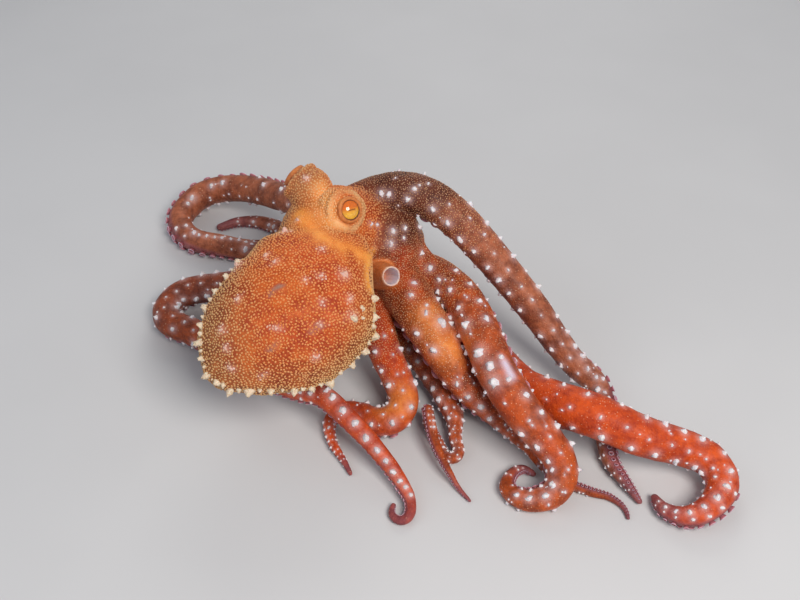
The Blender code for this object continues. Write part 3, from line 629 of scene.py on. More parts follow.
skin = joined("skin", forms)
skin.data.materials.clear()
melt = skin.modifiers.new("melt", "REMESH")
melt.mode = "VOXEL"
melt.voxel_size = VOXEL * MM
relax = skin.modifiers.new("relax", "SMOOTH")
relax.factor, relax.iterations = RELAX
apply_modifiers(skin)
spots = to_layout(skin)
from_crown = (spots - np.array(CROWN_CENTRE)) / np.array(CROWN_HALF)
near_crown = 1 - soft(0.9, 1.0 + FILLET_REACH / CROWN_HALF.x, np.linalg.norm(from_crown, axis=1))
to_funnel = np.linalg.norm(spots - np.array(FUNNEL_MOUTH), axis=1)
to_eyes = distance_to_eyes(spots)
near_crown *= soft(*KEEP_FUNNEL, to_funnel) * soft(*KEEP_EYES, to_eyes)
weigh(skin, "fillet", near_crown)
on_nape = np.zeros(len(spots))
maybe = np.nonzero((spots[:, 0] < COLLAR_SIDE[0]) & (spots[:, 1] > NAPE_BACK) & (spots[:, 2] > NAPE_LOW))[0]
both = np.maximum(distance_to(mantle_surface, spots[maybe]), distance_to(head_surface, spots[maybe]))
on_nape[maybe] = soft(NAPE_REACH[1], NAPE_REACH[0], both) * soft(*COLLAR_SIDE, spots[maybe, 0])
weigh(skin, "nape", on_nape * soft(*KEEP_EYES, to_eyes))
for name, (factor, times) in (("fillet", FILLET), ("nape", NAPE)):
    step = skin.modifiers.new(name, "SMOOTH")
    step.factor, step.iterations = factor, times
    step.vertex_group = name
apply_modifiers(skin)
skin.vertex_groups.clear()
print("skin:", len(skin.data.vertices), "points")

# %% [markdown]
# The funnel is the jet that the animal swims and breathes with: a soft tube with a thin round lip. Its bore
# is cut out of the skin with a tapered cutter. The mesh is then thinned to what a single piece may hold,
# which keeps more points where the form is small, and relaxed once more, so that the lip turns round.

# %% Cut the bore and thin the mesh
BORE_MOUTH_RADIUS, BORE_DEEP_RADIUS, BORE_DEPTH, BORE_PROUD = 4.35, 2.6, 14.0, 1.5
TARGET_TRIANGLES = 190000
LAST_RELAX = (0.4, 2)
middle = FUNNEL_MOUTH + FUNNEL_AXIS * (BORE_PROUD - BORE_DEPTH) / 2
bore = solid(add_cone, stand(middle, FUNNEL_AXIS), vertices=48, radius1=BORE_DEEP_RADIUS,
             radius2=BORE_MOUTH_RADIUS, depth=BORE_DEPTH + BORE_PROUD)
edit(bore, bpy.ops.mesh.subdivide, number_cuts=5)
cut = skin.modifiers.new("bore", "BOOLEAN")
cut.operation = "DIFFERENCE"
cut.object = bore
cut.solver = "MANIFOLD"
apply_modifiers(skin)
bpy.data.objects.remove(bore)
edit(skin, bpy.ops.mesh.quads_convert_to_tris)
thin = skin.modifiers.new("thin", "DECIMATE")
thin.ratio = min(1.0, TARGET_TRIANGLES / len(skin.data.polygons))
relax = skin.modifiers.new("relax", "SMOOTH")
relax.factor, relax.iterations = LAST_RELAX
apply_modifiers(skin)
skin.data.shade_smooth()
print("skin:", len(skin.data.polygons), "triangles")

# %% [markdown]
# Patterns have to know where on the animal they are. For each point of the skin the nearest arm is found,
# with how far along it the point lies and how far round towards the suckers. The distance to the mantle
# and head forms says what belongs to the trunk.

# %% Where each point of the skin lies
BLOCK = 3000
FAR = 1e3


def on_arms(points):
    """Nearest arm of each point: gap to its surface, number, arc length, share towards the suckers."""
    best = {"gap": np.full(len(points), FAR), "arm": np.zeros(len(points), int),
            "s": np.zeros(len(points)), "oral": np.zeros(len(points))}
    for number, arm in enumerate(arms.values()):
        low = arm.centre.min(0) - 20
        high = arm.centre.max(0) + 20
        inside = np.nonzero(((points > low) & (points < high)).all(1))[0]
        for start in range(0, len(inside), BLOCK):
            rows = inside[start:start + BLOCK]
            away = np.linalg.norm(points[rows, None] - arm.centre[None], axis=2)
            gap = away - arm.thick[None]
            spot = gap.argmin(1)
            value = gap[np.arange(len(rows)), spot]
            closer = value < best["gap"][rows]
            rows, spot = rows[closer], spot[closer]
            out = points[rows] - arm.centre[spot]
            size = np.linalg.norm(out, axis=1) + 1e-6
            best["gap"][rows] = value[closer]
            best["arm"][rows] = number
            best["s"][rows] = arm.s[spot] + (out * arm.ahead[spot]).sum(1)
            best["oral"][rows] = (out * arm.oral[spot]).sum(1) / size
    return best


def distance_to_mounds(points):
    """Distance of each point to the balls under the eyes, 0 on their surface."""
    middles = [np.array(centre - facing * MOUND_SET_BACK) for centre, facing in EYES.values()]
    return np.min([np.abs(np.linalg.norm(points - m, axis=1) - MOUND_RADIUS) for m in middles], axis=0)


skin_points = to_layout(skin)
place_on_arm = on_arms(skin_points)
to_mantle = distance_to(mantle_surface, skin_points)
to_head = distance_to(head_surface, skin_points)
arm_list = list(arms.values())
arm_lengths = np.array([arm.length for arm in arm_list])
share_along = np.clip(place_on_arm["s"] / arm_lengths[place_on_arm["arm"]], 0, 1)
on_mantle = soft(2.5, 0.8, to_mantle)
to_eyes = distance_to_eyes(skin_points)
on_mound = soft(3.4, 1.6, distance_to_mounds(skin_points)) * soft(20, 16, to_eyes)
on_head = np.max([soft(4.5, 0.5, to_head), soft(13.5, 11, to_eyes), on_mound], axis=0)
on_trunk = np.maximum(on_mantle, on_head)
print("points on the trunk:", int((on_trunk > 0.5).sum()), "of", len(skin_points))

# %% [markdown]
# Details that the photo shows are placed by looking through the camera: a ray through a pixel of the photo
# meets the skin at one point, and the detail is grown there along the skin's own normal. So it lies on the
# body from any side. What the photo does not show is spread by rule and by a seeded draw.

# %% Look through the camera
PHOTO_WIDTH, PHOTO_HEIGHT = 800, 600
FOCAL_PIXELS = camera.data.lens / camera.data.sensor_width * PHOTO_WIDTH
camera_spot = CAMERA_TARGET + camera_back * CAMERA_DISTANCE
camera_right = Vector((1.0, 0.0, 0.0))
camera_up = camera_back.cross(camera_right)
rng = random.Random(SEED)
skin_surface = surface_of(skin)


def seen_at(pixel_x, pixel_y):
    """The point of the skin that the photo shows at a pixel, and the normal there."""
    ray = camera_right * (pixel_x - PHOTO_WIDTH / 2) + camera_up * (PHOTO_HEIGHT / 2 - pixel_y)
    ray = (ray - camera_back * FOCAL_PIXELS).normalized()
    point, normal, _, _ = skin_surface.ray_cast(camera_spot, ray)
    return point, normal


def seen_list(places):
    """Point, normal and size for each (pixel x, pixel y, size) that lies on the skin."""
    found = [(*seen_at(x, y), size) for x, y, size in places]
    return [row for row in found if row[0]]


print("middle of the mantle meets the skin at", seen_at(300, 320)[0])

# %% [markdown]
# White spots run down each arm of this species in rows, the largest ones beside the back line, with a small
# knob of skin in each and smaller ones strewn between. Spots that the photo shows one by one are placed
# through the camera. All places are settled before the skin is sculpted, as it swells under each knob.

# %% Where the knobs and papillae stand
# Degrees from the back line, size as a share of the arm's thickness, largest size
KNOB_ROWS = ((55, 0.27, 1.75), (-55, 0.27, 1.75), (100, 0.18, 1.25), (-100, 0.18, 1.25), (0, 0.12, 0.85))
KNOB_START, KNOB_PITCH, KNOB_CLOSEST = 26.0, 1.12, 3.2
ROW_STAGGER, ROW_CYCLE, ROW_SWAY = 3.7, 9, 9
KNOB_SMALLEST = 0.4
SMALL_KNOBS_PER_MM, SMALL_KNOBS_TO = 0.10, 0.86
KNOBS_KEPT, KNOBS_KEPT_ELSEWHERE = {"arm_l1": 0.4, "arm_r3": 0.85}, 0.92
BARE_FROM = {"arm_l2": 0.72, "arm_l4": 0.80, "arm_r4": 0.84}
MANTLE_MIDDLE, INWARD = (290, 315), 0.012
RIM_PAPILLAE = [(371, 299, 2.9), (352, 319, 2.7), (372, 317, 2.5), (371, 335, 3.0), (362, 349, 3.1),
                (350, 363, 2.4), (329, 379, 3.2), (311, 386, 2.4), (294, 388, 2.8), (271, 389, 2.3),
                (249, 389, 3.0), (230, 388, 2.9), (218, 381, 2.2), (209, 374, 3.1), (204, 358, 2.3),
                (202, 343, 3.1), (203, 326, 2.3), (206, 309, 2.8), (213, 292, 2.3), (224, 276, 2.4),
                (240, 264, 2.7)]
BACK_PAPILLAE = [(285, 232, 2.4), (275, 262, 1.9), (322, 249, 1.8), (266, 255, 1.7), (239, 267, 2.8),
                 (238, 299, 1.7), (305, 280, 1.5), (321, 276, 1.7), (344, 275, 2.8), (350, 299, 1.9),
                 (352, 316, 2.4), (322, 302, 1.6), (321, 325, 1.7), (277, 328, 1.6), (222, 330, 1.9),
                 (226, 348, 1.8), (231, 368, 1.9), (263, 375, 1.7), (316, 357, 1.8), (298, 220, 1.9),
                 (288, 205, 2.2), (276, 214, 2.4), (306, 178, 1.9)]
SEEN_KNOBS = [(371, 224, 1.3), (377, 225, 1.1), (389, 195, 1.9), (393, 231, 1.6), (391, 244, 1.7),
              (354, 177, 1.8), (358, 178, 1.2), (414, 189, 1.4), (345, 176, 1.1), (405, 228, 1.3),
              (404, 238, 1.0), (414, 283, 1.5), (411, 295, 1.4), (426, 313, 1.4), (442, 323, 2.6),
              (438, 292, 1.6), (419, 227, 1.6), (421, 253, 1.7), (430, 268, 1.7), (439, 280, 1.6),
              (450, 290, 1.6), (459, 308, 1.7), (466, 325, 2.4), (479, 353, 2.8), (490, 366, 2.4),
              (494, 382, 2.9), (327, 390, 1.9), (333, 397, 2.2), (343, 410, 2.1), (355, 423, 1.9),
              (366, 438, 1.9), (377, 450, 1.8), (386, 461, 1.6), (393, 472, 1.6), (400, 481, 1.4),
              (406, 487, 1.3), (411, 495, 1.2), (199, 235, 1.1), (207, 236, 1.2), (215, 237, 1.0),
              (222, 238, 1.2), (231, 239, 1.2), (239, 240, 1.2), (246, 242, 1.1), (252, 244, 1.0)]


def beside(arm, s, degrees):
    """The point of an arm at so many degrees from its sucker side, the way it faces, and the thickness."""
    centre, ahead, oral, thick = arm.at(s)
    facing = Matrix.Rotation(math.radians(degrees), 3, ahead) @ oral
    return centre + facing * thick, facing, thick


def arm_knobs(arm):
    """Knobs of one arm as rows of point, direction and size."""
    out = []
    for row, (degrees, share, largest) in enumerate(KNOB_ROWS):
        s = KNOB_START + row * ROW_STAGGER % ROW_CYCLE
        while s < arm.length - 6:
            point, facing, thick = beside(arm, s, 180 + degrees + rng.uniform(-ROW_SWAY, ROW_SWAY))
            size = min(max(share * thick, KNOB_SMALLEST), largest) * rng.uniform(0.75, 1.15)
            bare = arm.name in BARE_FROM and s > BARE_FROM[arm.name] * arm.length
            if rng.random() < KNOBS_KEPT.get(arm.name, KNOBS_KEPT_ELSEWHERE) and not bare:
                out.append((point, facing, size))
            s += max(KNOB_PITCH * thick * rng.uniform(0.86, 1.14), KNOB_CLOSEST)
    for _ in range(int(arm.length * SMALL_KNOBS_PER_MM)):
        s = rng.uniform(KNOB_START, arm.length * SMALL_KNOBS_TO)
        point, facing, _ = beside(arm, s, 180 + rng.uniform(-85, 85))
        out.append((point, facing, rng.uniform(0.35, 0.75)))
    return out


def on_rim(pixel_x, pixel_y, size):
    """The first place on the mantle on the way from a pixel near its outline to its middle."""
    for step in range(12):
        x = pixel_x + (MANTLE_MIDDLE[0] - pixel_x) * INWARD * step
        y = pixel_y + (MANTLE_MIDDLE[1] - pixel_y) * INWARD * step
        point, normal = seen_at(x, y)
        if point and mantle_surface.find_nearest(point)[3] < 2.5:
            return [(point, normal, size)]
    return []


knobs = []
for arm in arms.values():
    for point, facing, size in arm_knobs(arm):
        spot, normal, _, _ = skin_surface.find_nearest(point)
        if (spot - point).length < 1.6 and normal.dot(facing) > 0.5:
            knobs.append((spot, normal, size))
placed = seen_list(SEEN_KNOBS)
knobs = [row for row in knobs if all((row[0] - other[0]).length > row[2] + other[2] for other in placed)]
knobs += placed
small_rim = [((a[0] + b[0]) / 2, (a[1] + b[1]) / 2, rng.uniform(1.2, 1.9))
             for a, b in zip(RIM_PAPILLAE, RIM_PAPILLAE[1:])]
rim_papillae = [row for place in RIM_PAPILLAE + small_rim for row in on_rim(*place)]
back_papillae = seen_list(BACK_PAPILLAE)
print("knobs:", len(knobs), "rim papillae:", len(rim_papillae), "back papillae:", len(back_papillae))

# %% [markdown]
# Now the skin is sculpted in code. Each point moves along its normal: up under knobs and papillae, in and
# out with slow noise as soft flesh does, up along the free edge of the mantle and down in the groove behind
# it. On the sucker side the arm is flattened a little.

# %% Sculpt the skin
LUMP_SIZE, LUMP_HEIGHT = 7.0, 0.35
# Reach and height of the skin's swelling, as shares of a knob's or papilla's size
SWELLING = ((knobs, 1.1, 0.30), (rim_papillae, 1.3, 0.55), (back_papillae, 1.2, 0.35))
FLATTEN, FLATTEN_FROM = 0.07, (30, 45)
COLLAR_RIDGE = [(372, 250), (368, 258), (366, 268), (366, 279), (368, 292)]
COLLAR_GROOVE = [(351, 252), (354, 262), (357, 272), (361, 284)]
COLLAR_HEIGHT, COLLAR_WIDTH, GROOVE_DEPTH = 1.5, 1.7, 1.1
KEEP_EYEBALL, KEEP_FLOOR = (4.5, 7.5), (1.5, 4.0)


def noise_at(points, size):
    """Smooth noise from -1 to 1 at each point, with features of about a given size in millimetres."""
    return np.array([noise.noise(Vector(p / size)) for p in points])


def swell(points, spots, reach, height):
    """Round hills of given height under a list of (point, normal, size)."""
    rise = np.zeros(len(points))
    order = np.argsort(points[:, 0])
    sorted_x = points[order, 0]
    for spot, _, size, *width in spots:
        wide = reach * (width[0] if width else size)
        low, high = np.searchsorted(sorted_x, (spot[0] - 3 * wide, spot[0] + 3 * wide))
        near = order[low:high]
        away = np.linalg.norm(points[near] - np.array(spot), axis=1)
        rise[near] = np.maximum(rise[near], height * size * np.exp(-(away / wide) ** 2))
    return rise


def patches(points, spots, reach):
    """1 at each spot of a list of (point, normal, size), falling to 0 beyond reach times its size."""
    return swell(points, [(spot, normal, 1.0, size) for spot, normal, size in spots], reach, 1.0)


def closeness(points, pixels, width):
    """1 on a line drawn through pixels on the skin, falling to 0 beside it."""
    line = [row[0] for row in seen_list([(x, y, width) for x, y in pixels])]
    near = np.full(len(points), FAR)
    for a, b in zip(line, line[1:]):
        for k in range(12):
            spot = np.array(a.lerp(b, k / 12))
            near = np.minimum(near, np.linalg.norm(points - spot, axis=1))
    return np.exp(-(near / width) ** 2)


normals = normals_of(skin)
on_ridge = closeness(skin_points, COLLAR_RIDGE, COLLAR_WIDTH)
in_groove = closeness(skin_points, COLLAR_GROOVE, COLLAR_WIDTH * 1.5)
arm_side = (1 - on_trunk) * soft(*FLATTEN_FROM, place_on_arm["s"])
rise = noise_at(skin_points, LUMP_SIZE) * LUMP_HEIGHT * (0.6 + 0.6 * on_trunk)
for places, reach, height in SWELLING:
    rise += swell(skin_points, places, reach, height)
rise += on_ridge * COLLAR_HEIGHT - in_groove * GROOVE_DEPTH
arm_thick = np.zeros(len(skin_points))
for number, arm in enumerate(arm_list):
    mine = place_on_arm["arm"] == number
    arm_thick[mine] = np.interp(place_on_arm["s"][mine], arm.s, arm.thick)
rise -= arm_side * soft(0.55, 0.95, place_on_arm["oral"]) * FLATTEN * arm_thick
rise *= soft(*KEEP_EYEBALL, distance_to_eyes(skin_points)) * soft(*KEEP_FLOOR, skin_points[:, 2])
from_layout(skin, skin_points + normals * rise[:, None])
skin_points = to_layout(skin)
skin_surface = surface_of(skin)
print("sculpted, highest rise in mm:", round(float(rise.max()), 2))

# %% [markdown]
# The colours depend on what each place of the skin is. One number per point says so for each kind of place:
# the trunk and its brown rim, with painted shade on its sides and left, the bright cheek, the dark crown
# with painted shade beside the right eye, painted shade on arm_l2 and partly on the browner arms, the sucker
# side, the tips of the arms, the ring round each eye, the lip and bore of the funnel, the bore paler as
# painted light.
# Broad ones are blurred over the mesh, as skin has no hard borders, and the few that the material itself
# reads are stored on the mesh.

# %% What each place of the skin is
BLUR_ROUNDS = 24
BLURRED_MASKS = ("trunk", "vivid", "brown", "shade", "dark", "edge", "left")
# Layout x over which the mantle's left side is painted browner: painted shade, as the light comes from the
# right
LEFT_SHADE_SPAN = (-60.0, -92.0)
DARK_REACH = (45.0, 74.0)
CROWN_REACH = (22.0, 48.0)
VIVID_ARMS = ("arm_r2", "arm_l3")
# Arms painted browner: partly their own brown, partly painted shade
BROWN_AND_SHADED_ARMS = ("arm_l1", "arm_r1")
FLECKED_ARMS = ("arm_r1", "arm_r3", "arm_r4")
EYE_LINE = (4.8, 5.0)
LIP_WIDTH, BORE_SHOWN = 0.9, 12.0
# Places drawn through the camera: half width in millimetres, then one or more lines of pixels
DRAWN = {
    "red": (8.0, [(305, 252), (322, 262), (339, 294), (330, 312)], [(278, 326), (307, 337), (340, 340)]),
    "shaded_cheek": (8.0, [(369, 186), (379, 198), (391, 212), (400, 226)]),
    "tan": (10.0, [(309, 171), (300, 184), (294, 198), (290, 212), (283, 226)]),
    "bright": (9.0, [(375, 399), (390, 405), (404, 398)], [(430, 318), (441, 335), (452, 350)]),
    "ember": (6.0, [(403, 255), (409, 275), (416, 292)], [(545, 436), (556, 462)], [(500, 402), (514, 418)]),
    "lilac": (2.3, [(505, 363), (508, 369), (512, 376)]),
    "cheek": (7.0, [(322, 192), (327, 206), (333, 221)]),
    "free_edge": (8.0, [(336, 234), (350, 239), (362, 245), (371, 252), (374, 263), (374, 277)]),
    "glow": (5.0, [(300, 214), (312, 228), (324, 238), (335, 243), (347, 248), (358, 253), (368, 256)]),
    "cream": (2.4, [(337, 224), (341, 226), (346, 228)]),
    "dash": (1.1, [(270, 294), (280, 286)], [(313, 333), (319, 324)], [(272, 351), (278, 343)]),
}


def off_axis(points, origin, axis):
    """Distance along an axis and away from it."""
    out = points - np.array(origin)
    along = out @ np.array(axis)
    return along, np.linalg.norm(out - along[:, None] * np.array(axis), axis=1)


def arm_share(names):
    """1 for points whose nearest arm is one of these."""
    numbers = [i for i, arm in enumerate(arm_list) if arm.name in names]
    return np.isin(place_on_arm["arm"], numbers).astype(float)


def blurred(values):
    """The numbers after each point has been averaged with its neighbours, over and over."""
    for _ in range(BLUR_ROUNDS):
        from_first = np.bincount(edges[:, 1], values[edges[:, 0]], len(values))
        from_second = np.bincount(edges[:, 0], values[edges[:, 1]], len(values))
        values = (values + from_first + from_second) / (1 + neighbours)
    return values


edges = np.empty(2 * len(skin.data.edges), int)
skin.data.edges.foreach_get("vertices", edges)
edges = edges.reshape(-1, 2)
neighbours = np.bincount(edges.ravel(), minlength=len(skin_points))
normals = normals_of(skin)
drawn = {name: np.max([closeness(skin_points, line, width) for line in lines], axis=0)
         for name, (width, *lines) in DRAWN.items()}
arm_s = place_on_arm["s"]
on_r1 = arm_share(["arm_r1"])
mantle_top = normals @ np.array(MANTLE_AXES[1])
# Browner where the mantle turns away from its top: partly the rim's own brown, partly painted shade
rim_and_shade = 0.75 * soft(0.86, 0.35, mantle_top) + 0.25 * soft(0.45, 0.05, mantle_top)
# The left of the mantle is painted browner and darker: painted shade, as the light comes from the right
left_painted_shade = on_mantle * soft(*LEFT_SHADE_SPAN, skin_points[:, 0] + 9 * noise_at(skin_points, 16.0))
rim_and_shade = np.maximum(on_mantle * rim_and_shade, 0.85 * left_painted_shade)
rim_and_shade *= 1 - drawn["free_edge"]
off_trunk = 1 - on_trunk
oral_side = off_trunk * soft(0.25, 0.68, place_on_arm["oral"])
oral_side *= soft(25, 45, arm_s - 45 * on_r1)
# Darker on the root of arm_r1, its own colour; painted shade beside the right eye; a light darkening round
# all arm roots
crown_dark = off_trunk * on_r1 * soft(DARK_REACH[1], DARK_REACH[0], arm_s)
crown_dark *= soft(60, 72, skin_points[:, 2])
crown_dark = np.maximum(crown_dark, 0.85 * drawn["shaded_cheek"])
crown_dark = np.maximum(crown_dark, 0.3 * off_trunk * soft(CROWN_REACH[1], CROWN_REACH[0], arm_s))
flecked = off_trunk * soft(75, 25, arm_s - 40 * arm_share(FLECKED_ARMS))
to_lid, to_ridge, to_line = (np.full(len(skin_points), FAR) for _ in range(3))
for centre, facing in EYES.values():
    along, away = off_axis(skin_points, centre, facing)
    lid_gap, line_gap = (np.where(along > 0, np.hypot(away - radius, along - forward), FAR)
                         for radius, forward in ((LID_RADIUS, LID_FORWARD), EYE_LINE))
    to_lid, to_line = np.minimum(to_lid, lid_gap), np.minimum(to_line, line_gap)
    to_ridge = np.minimum(to_ridge, np.hypot(away - RIDGE_RADIUS, along - RIDGE_FORWARD - 1))
right_of_eye = soft(-3, 6, (skin_points - np.array(EYES["right"][0])) @ np.array(camera_right))
along, away = off_axis(skin_points, FUNNEL_MOUTH, FUNNEL_AXIS)
in_bore = soft(-BORE_SHOWN - 1, -BORE_SHOWN + 2, along)
in_bore *= soft(BORE_MOUTH_RADIUS + 0.35, BORE_MOUTH_RADIUS - 0.1, away)
in_bore *= soft(0.1, -0.3, ((skin_points - np.array(FUNNEL_MOUTH)) * normals).sum(1) / (away + 0.5))
on_lip = soft(-LIP_WIDTH - 0.8, -LIP_WIDTH + 0.4, along) * soft(6.5, 5.6, away)
along_funnel = soft(-FUNNEL_LENGTH, -FUNNEL_LENGTH + 6, along) * soft(9.5, 7.5, away)
vivid = np.maximum(arm_share(VIVID_ARMS), arm_share(["arm_l2"]) * soft(0.5, 0.62, share_along))
masks = {
    "trunk": on_trunk,
    "red": on_mantle * drawn["red"],
    # edge: the mantle's brown rim, partly its own colour and partly painted shade on its sides and left
    "edge": rim_and_shade,
    "dark": crown_dark,
    "glow": drawn["glow"],
    "vivid": off_trunk * vivid,
    "oral": oral_side,
    "tip": off_trunk * soft(0.89, 0.98, share_along),
    "lid": soft(2.1, 1.1, to_lid),
    "line": soft(0.8, 0.3, to_line),
    "ridge": soft(2.4, 0.8, to_ridge) * (0.35 + 0.65 * right_of_eye),
    "cream": drawn["cream"],
    "bore": in_bore,
    "lip": on_lip * (1 - in_bore),
    "funnel": along_funnel,
    "collar": on_ridge,
    "groove": in_groove,
    "pale": patches(skin_points, back_papillae, 1.0),
    "white": patches(skin_points, knobs, 1.45),
    "lilac": drawn["lilac"],
    "dash": drawn["dash"],
    # brown: partly own brown, partly painted shade on arm_l1 and arm_r1
    "brown": off_trunk * arm_share(BROWN_AND_SHADED_ARMS),
    # shade: painted shade on the first half of arm_l2
    "shade": off_trunk * arm_share(["arm_l2"]) * soft(0.50, 0.38, share_along),
    "tan": on_trunk * drawn["tan"],
    "cheek": on_trunk * drawn["cheek"],
    # left: painted shade on the left of the mantle
    "left": left_painted_shade,
    "bright": off_trunk * drawn["bright"],
    "ember": off_trunk * drawn["ember"],
    "fleck": flecked,
    "along": arm_s,
    "aboral": soft(0.1, -0.5, place_on_arm["oral"]) * off_trunk,
}
for name in BLURRED_MASKS:
    masks[name] = blurred(masks[name])
for name in ("along", "aboral", "fleck", "trunk"):
    add_mask(skin, name, masks[name])
print("masks:", ", ".join(masks))

# %% [markdown]
# Grains, knobs, papillae and suckers are small shapes that repeat by the hundred. Each is modelled once with
# few faces: a disc is extruded ring by ring and its last ring merged to a point. Copies of it, turned, sized
# and made a little uneven, are then joined into pieces small enough to handle. A flat map gives each copy a
# square cell of its own, so that the colours can be baked.

# %% A small shape, and many copies of it
PIECE_LIMIT = 190000
CELL_DISC, CELL_FOOT = 0.44, 0.05
ROUGHNESS = 0.8


def small_shape(sides, profile):
    """Points, faces and ring numbers of a closed round shape through rings of (radius, height)."""
    radius, height = profile[0]
    bpy.ops.object.select_all(action="DESELECT")
    bpy.ops.mesh.primitive_circle_add(vertices=sides, radius=radius, fill_type="NGON")
    obj = bpy.context.object
    bpy.ops.object.mode_set(mode="EDIT")
    bpy.ops.mesh.select_all(action="SELECT")
    bpy.ops.transform.translate(value=(0, 0, height))
    for new_radius, new_height in profile[1:]:
        bpy.ops.mesh.extrude_region_move(TRANSFORM_OT_translate={"value": (0, 0, new_height - height)})
        bpy.ops.transform.resize(value=(new_radius / radius, new_radius / radius, 1),
                                 center_override=(0, 0, new_height))
        radius, height = new_radius, new_height
    bpy.ops.mesh.poke()
    bpy.ops.mesh.select_all(action="SELECT")
    bpy.ops.mesh.normals_make_consistent(inside=False)
    bpy.ops.object.mode_set(mode="OBJECT")
    points = np.array([v.co[:] for v in obj.data.vertices])
    faces = [tuple(f.vertices) for f in obj.data.polygons]
    ring = np.minimum(np.arange(len(points)) // sides, len(profile) - 1) / (len(profile) - 1)
    bpy.data.objects.remove(obj)
    return points, faces, ring


def cell_map(points, faces, ring):
    """Where each face corner of a shape lies in a square cell: its foot outside, its top in the middle."""
    away = np.hypot(points[:, 0], points[:, 1])
    share = np.where(away > 1e-6, CELL_DISC * (1 - 0.8 * ring), 0) / np.maximum(away, 1e-6)
    on_top = 0.5 + points[:, :2] * share[:, None]
    below = CELL_FOOT * (1 + points[:, :2] * 0.8)
    return np.array([(below if len(face) > 4 else on_top)[i] for face in faces for i in face])


def frames_for(places):
    """Spots and three axes for each place, turned at random about its normal."""
    spots = np.array([row[0][:] for row in places])
    up = np.array([row[1][:] for row in places])
    turn = np.array([rng.uniform(0, 2 * math.pi) for _ in places])
    helper = np.where(np.abs(up[:, :1]) < 0.8, [[1.0, 0, 0]], [[0, 1.0, 0]])
    first = np.cross(up, helper)
    first /= np.linalg.norm(first, axis=1, keepdims=True)
    second = np.cross(up, first)
    across = first * np.cos(turn)[:, None] + second * np.sin(turn)[:, None]
    return spots, across, np.cross(up, across), up


def grow(name, shape, places, stretch=0.0, uneven=0.0, extra=None):
    """Joined copies of a shape; a place is (spot, normal, width, height) in layout millimetres."""
    points, faces, ring = shape
    per_piece = PIECE_LIMIT // sum(len(f) - 2 for f in faces)
    spots, across, sideways, up = frames_for(places)
    width = np.array([row[2] for row in places])
    height = np.array([row[3] for row in places])
    longer = np.array([1 + rng.uniform(0, stretch) for _ in places])
    tint = np.array([rng.random() for _ in places])
    pieces = []
    for start in range(0, len(places), per_piece):
        rows = slice(start, start + per_piece)
        count = len(spots[rows])
        body = (spots[rows, None]
                + across[rows, None] * (points[None, :, :1] * (width * longer)[rows, None, None])
                + sideways[rows, None] * (points[None, :, 1:2] * (width / longer)[rows, None, None])
                + up[rows, None] * (points[None, :, 2:] * height[rows, None, None])).reshape(-1, 3)
        if uneven:
            push = noise_at(body, ROUGHNESS) * uneven
            out = body - np.repeat(spots[rows], len(points), axis=0)
            push *= np.repeat(width[rows], len(points))
            body += out / (np.linalg.norm(out, axis=1, keepdims=True) + 1e-6) * push[:, None]
        body[:, 2] = np.maximum(body[:, 2], FLOOR_GAP)
        body = (body + np.array(SHIFT)) * MM
        all_faces = [tuple(i + k * len(points) for i in face) for k in range(count) for face in faces]
        obj = mesh_piece(f"{name}_{len(pieces) + 1}", body.tolist(), all_faces)
        side = math.ceil(math.sqrt(count))
        cells = np.array([(k % side, k // side) for k in range(count)])
        flat = (cells[:, None] + cell_map(points, faces, ring)[None]) / side
        obj.data.uv_layers.new(name="OFBake").data.foreach_set("uv", flat.ravel())
        add_mask(obj, "ring", np.tile(ring, count))
        add_mask(obj, "tint", np.repeat(tint[rows], len(points)))
        for key, values in (extra or {}).items():
            add_mask(obj, key, np.repeat(np.asarray(values)[rows], len(points)))
        pieces.append(obj)
    print(name, "copies:", len(places), "pieces:", len(pieces))
    return pieces


# %% [markdown]
# The knobs are small rough cones. Those on the mantle's rim are papillae: larger, with a ragged point. On
# the back most are low and blunt, and the largest ones stand up.

# %% Knobs and papillae
KNOB_PROFILE = [(1.08, -0.5), (0.94, 0.16), (0.64, 0.62), (0.28, 1.08)]
PAPILLA_PROFILE = [(1.15, -0.6), (1.0, 0.12), (0.78, 0.5), (0.54, 0.9), (0.27, 1.3)]
# Width and height as shares of the listed size; the largest papillae of the back stand taller
KNOB_FORM, RIM_FORM, LOW_FORM, TALL_FORM = (0.95, 0.9), (0.9, 1.0), (0.68, 0.42), (0.68, 0.78)
TALL_FROM = 2.3
knob_shape = small_shape(10, KNOB_PROFILE)
papilla_shape = small_shape(14, PAPILLA_PROFILE)


def formed(places, form, large_form=None):
    """Places with a width and a height in place of their size."""
    forms_used = [large_form if large_form and size > TALL_FROM else form for _, _, size in places]
    return [(p, n, size * wide, size * high) for (p, n, size), (wide, high) in zip(places, forms_used)]


knob_pieces = grow("knobs", knob_shape, formed(knobs, KNOB_FORM), stretch=0.25, uneven=0.5)
rim_pieces = grow("rim_papillae", papilla_shape, formed(rim_papillae, RIM_FORM), stretch=0.25, uneven=0.5)
back_pieces = grow("back_papillae", papilla_shape, formed(back_papillae, LOW_FORM, TALL_FORM),
                   stretch=0.3, uneven=0.45)

# %% [markdown]
# Two staggered rows of suckers run along the underside of each arm, close together and smaller towards the
# tip. Each is a stalked cup with a round rim. They stand on the skin, and they flatten where the arm rests.

# %% Suckers
SUCKER_TURN = 27.0
SUCKER_SHARE, SUCKER_PITCH = 0.30, 0.41
SUCKER_START, SUCKER_SMALLEST = 14.0, 0.33
LARGE_SUCKER = 1.3
SUCKER_PROFILE = [(0.66, -0.5), (0.70, 0.10), (0.84, 0.40), (0.99, 0.60), (0.97, 0.76), (0.80, 0.72),
                  (0.50, 0.44), (0.26, 0.10)]
SMALL_SUCKER_PROFILE = [(0.66, -0.5), (0.74, 0.15), (1.0, 0.58), (0.84, 0.74), (0.45, 0.36)]


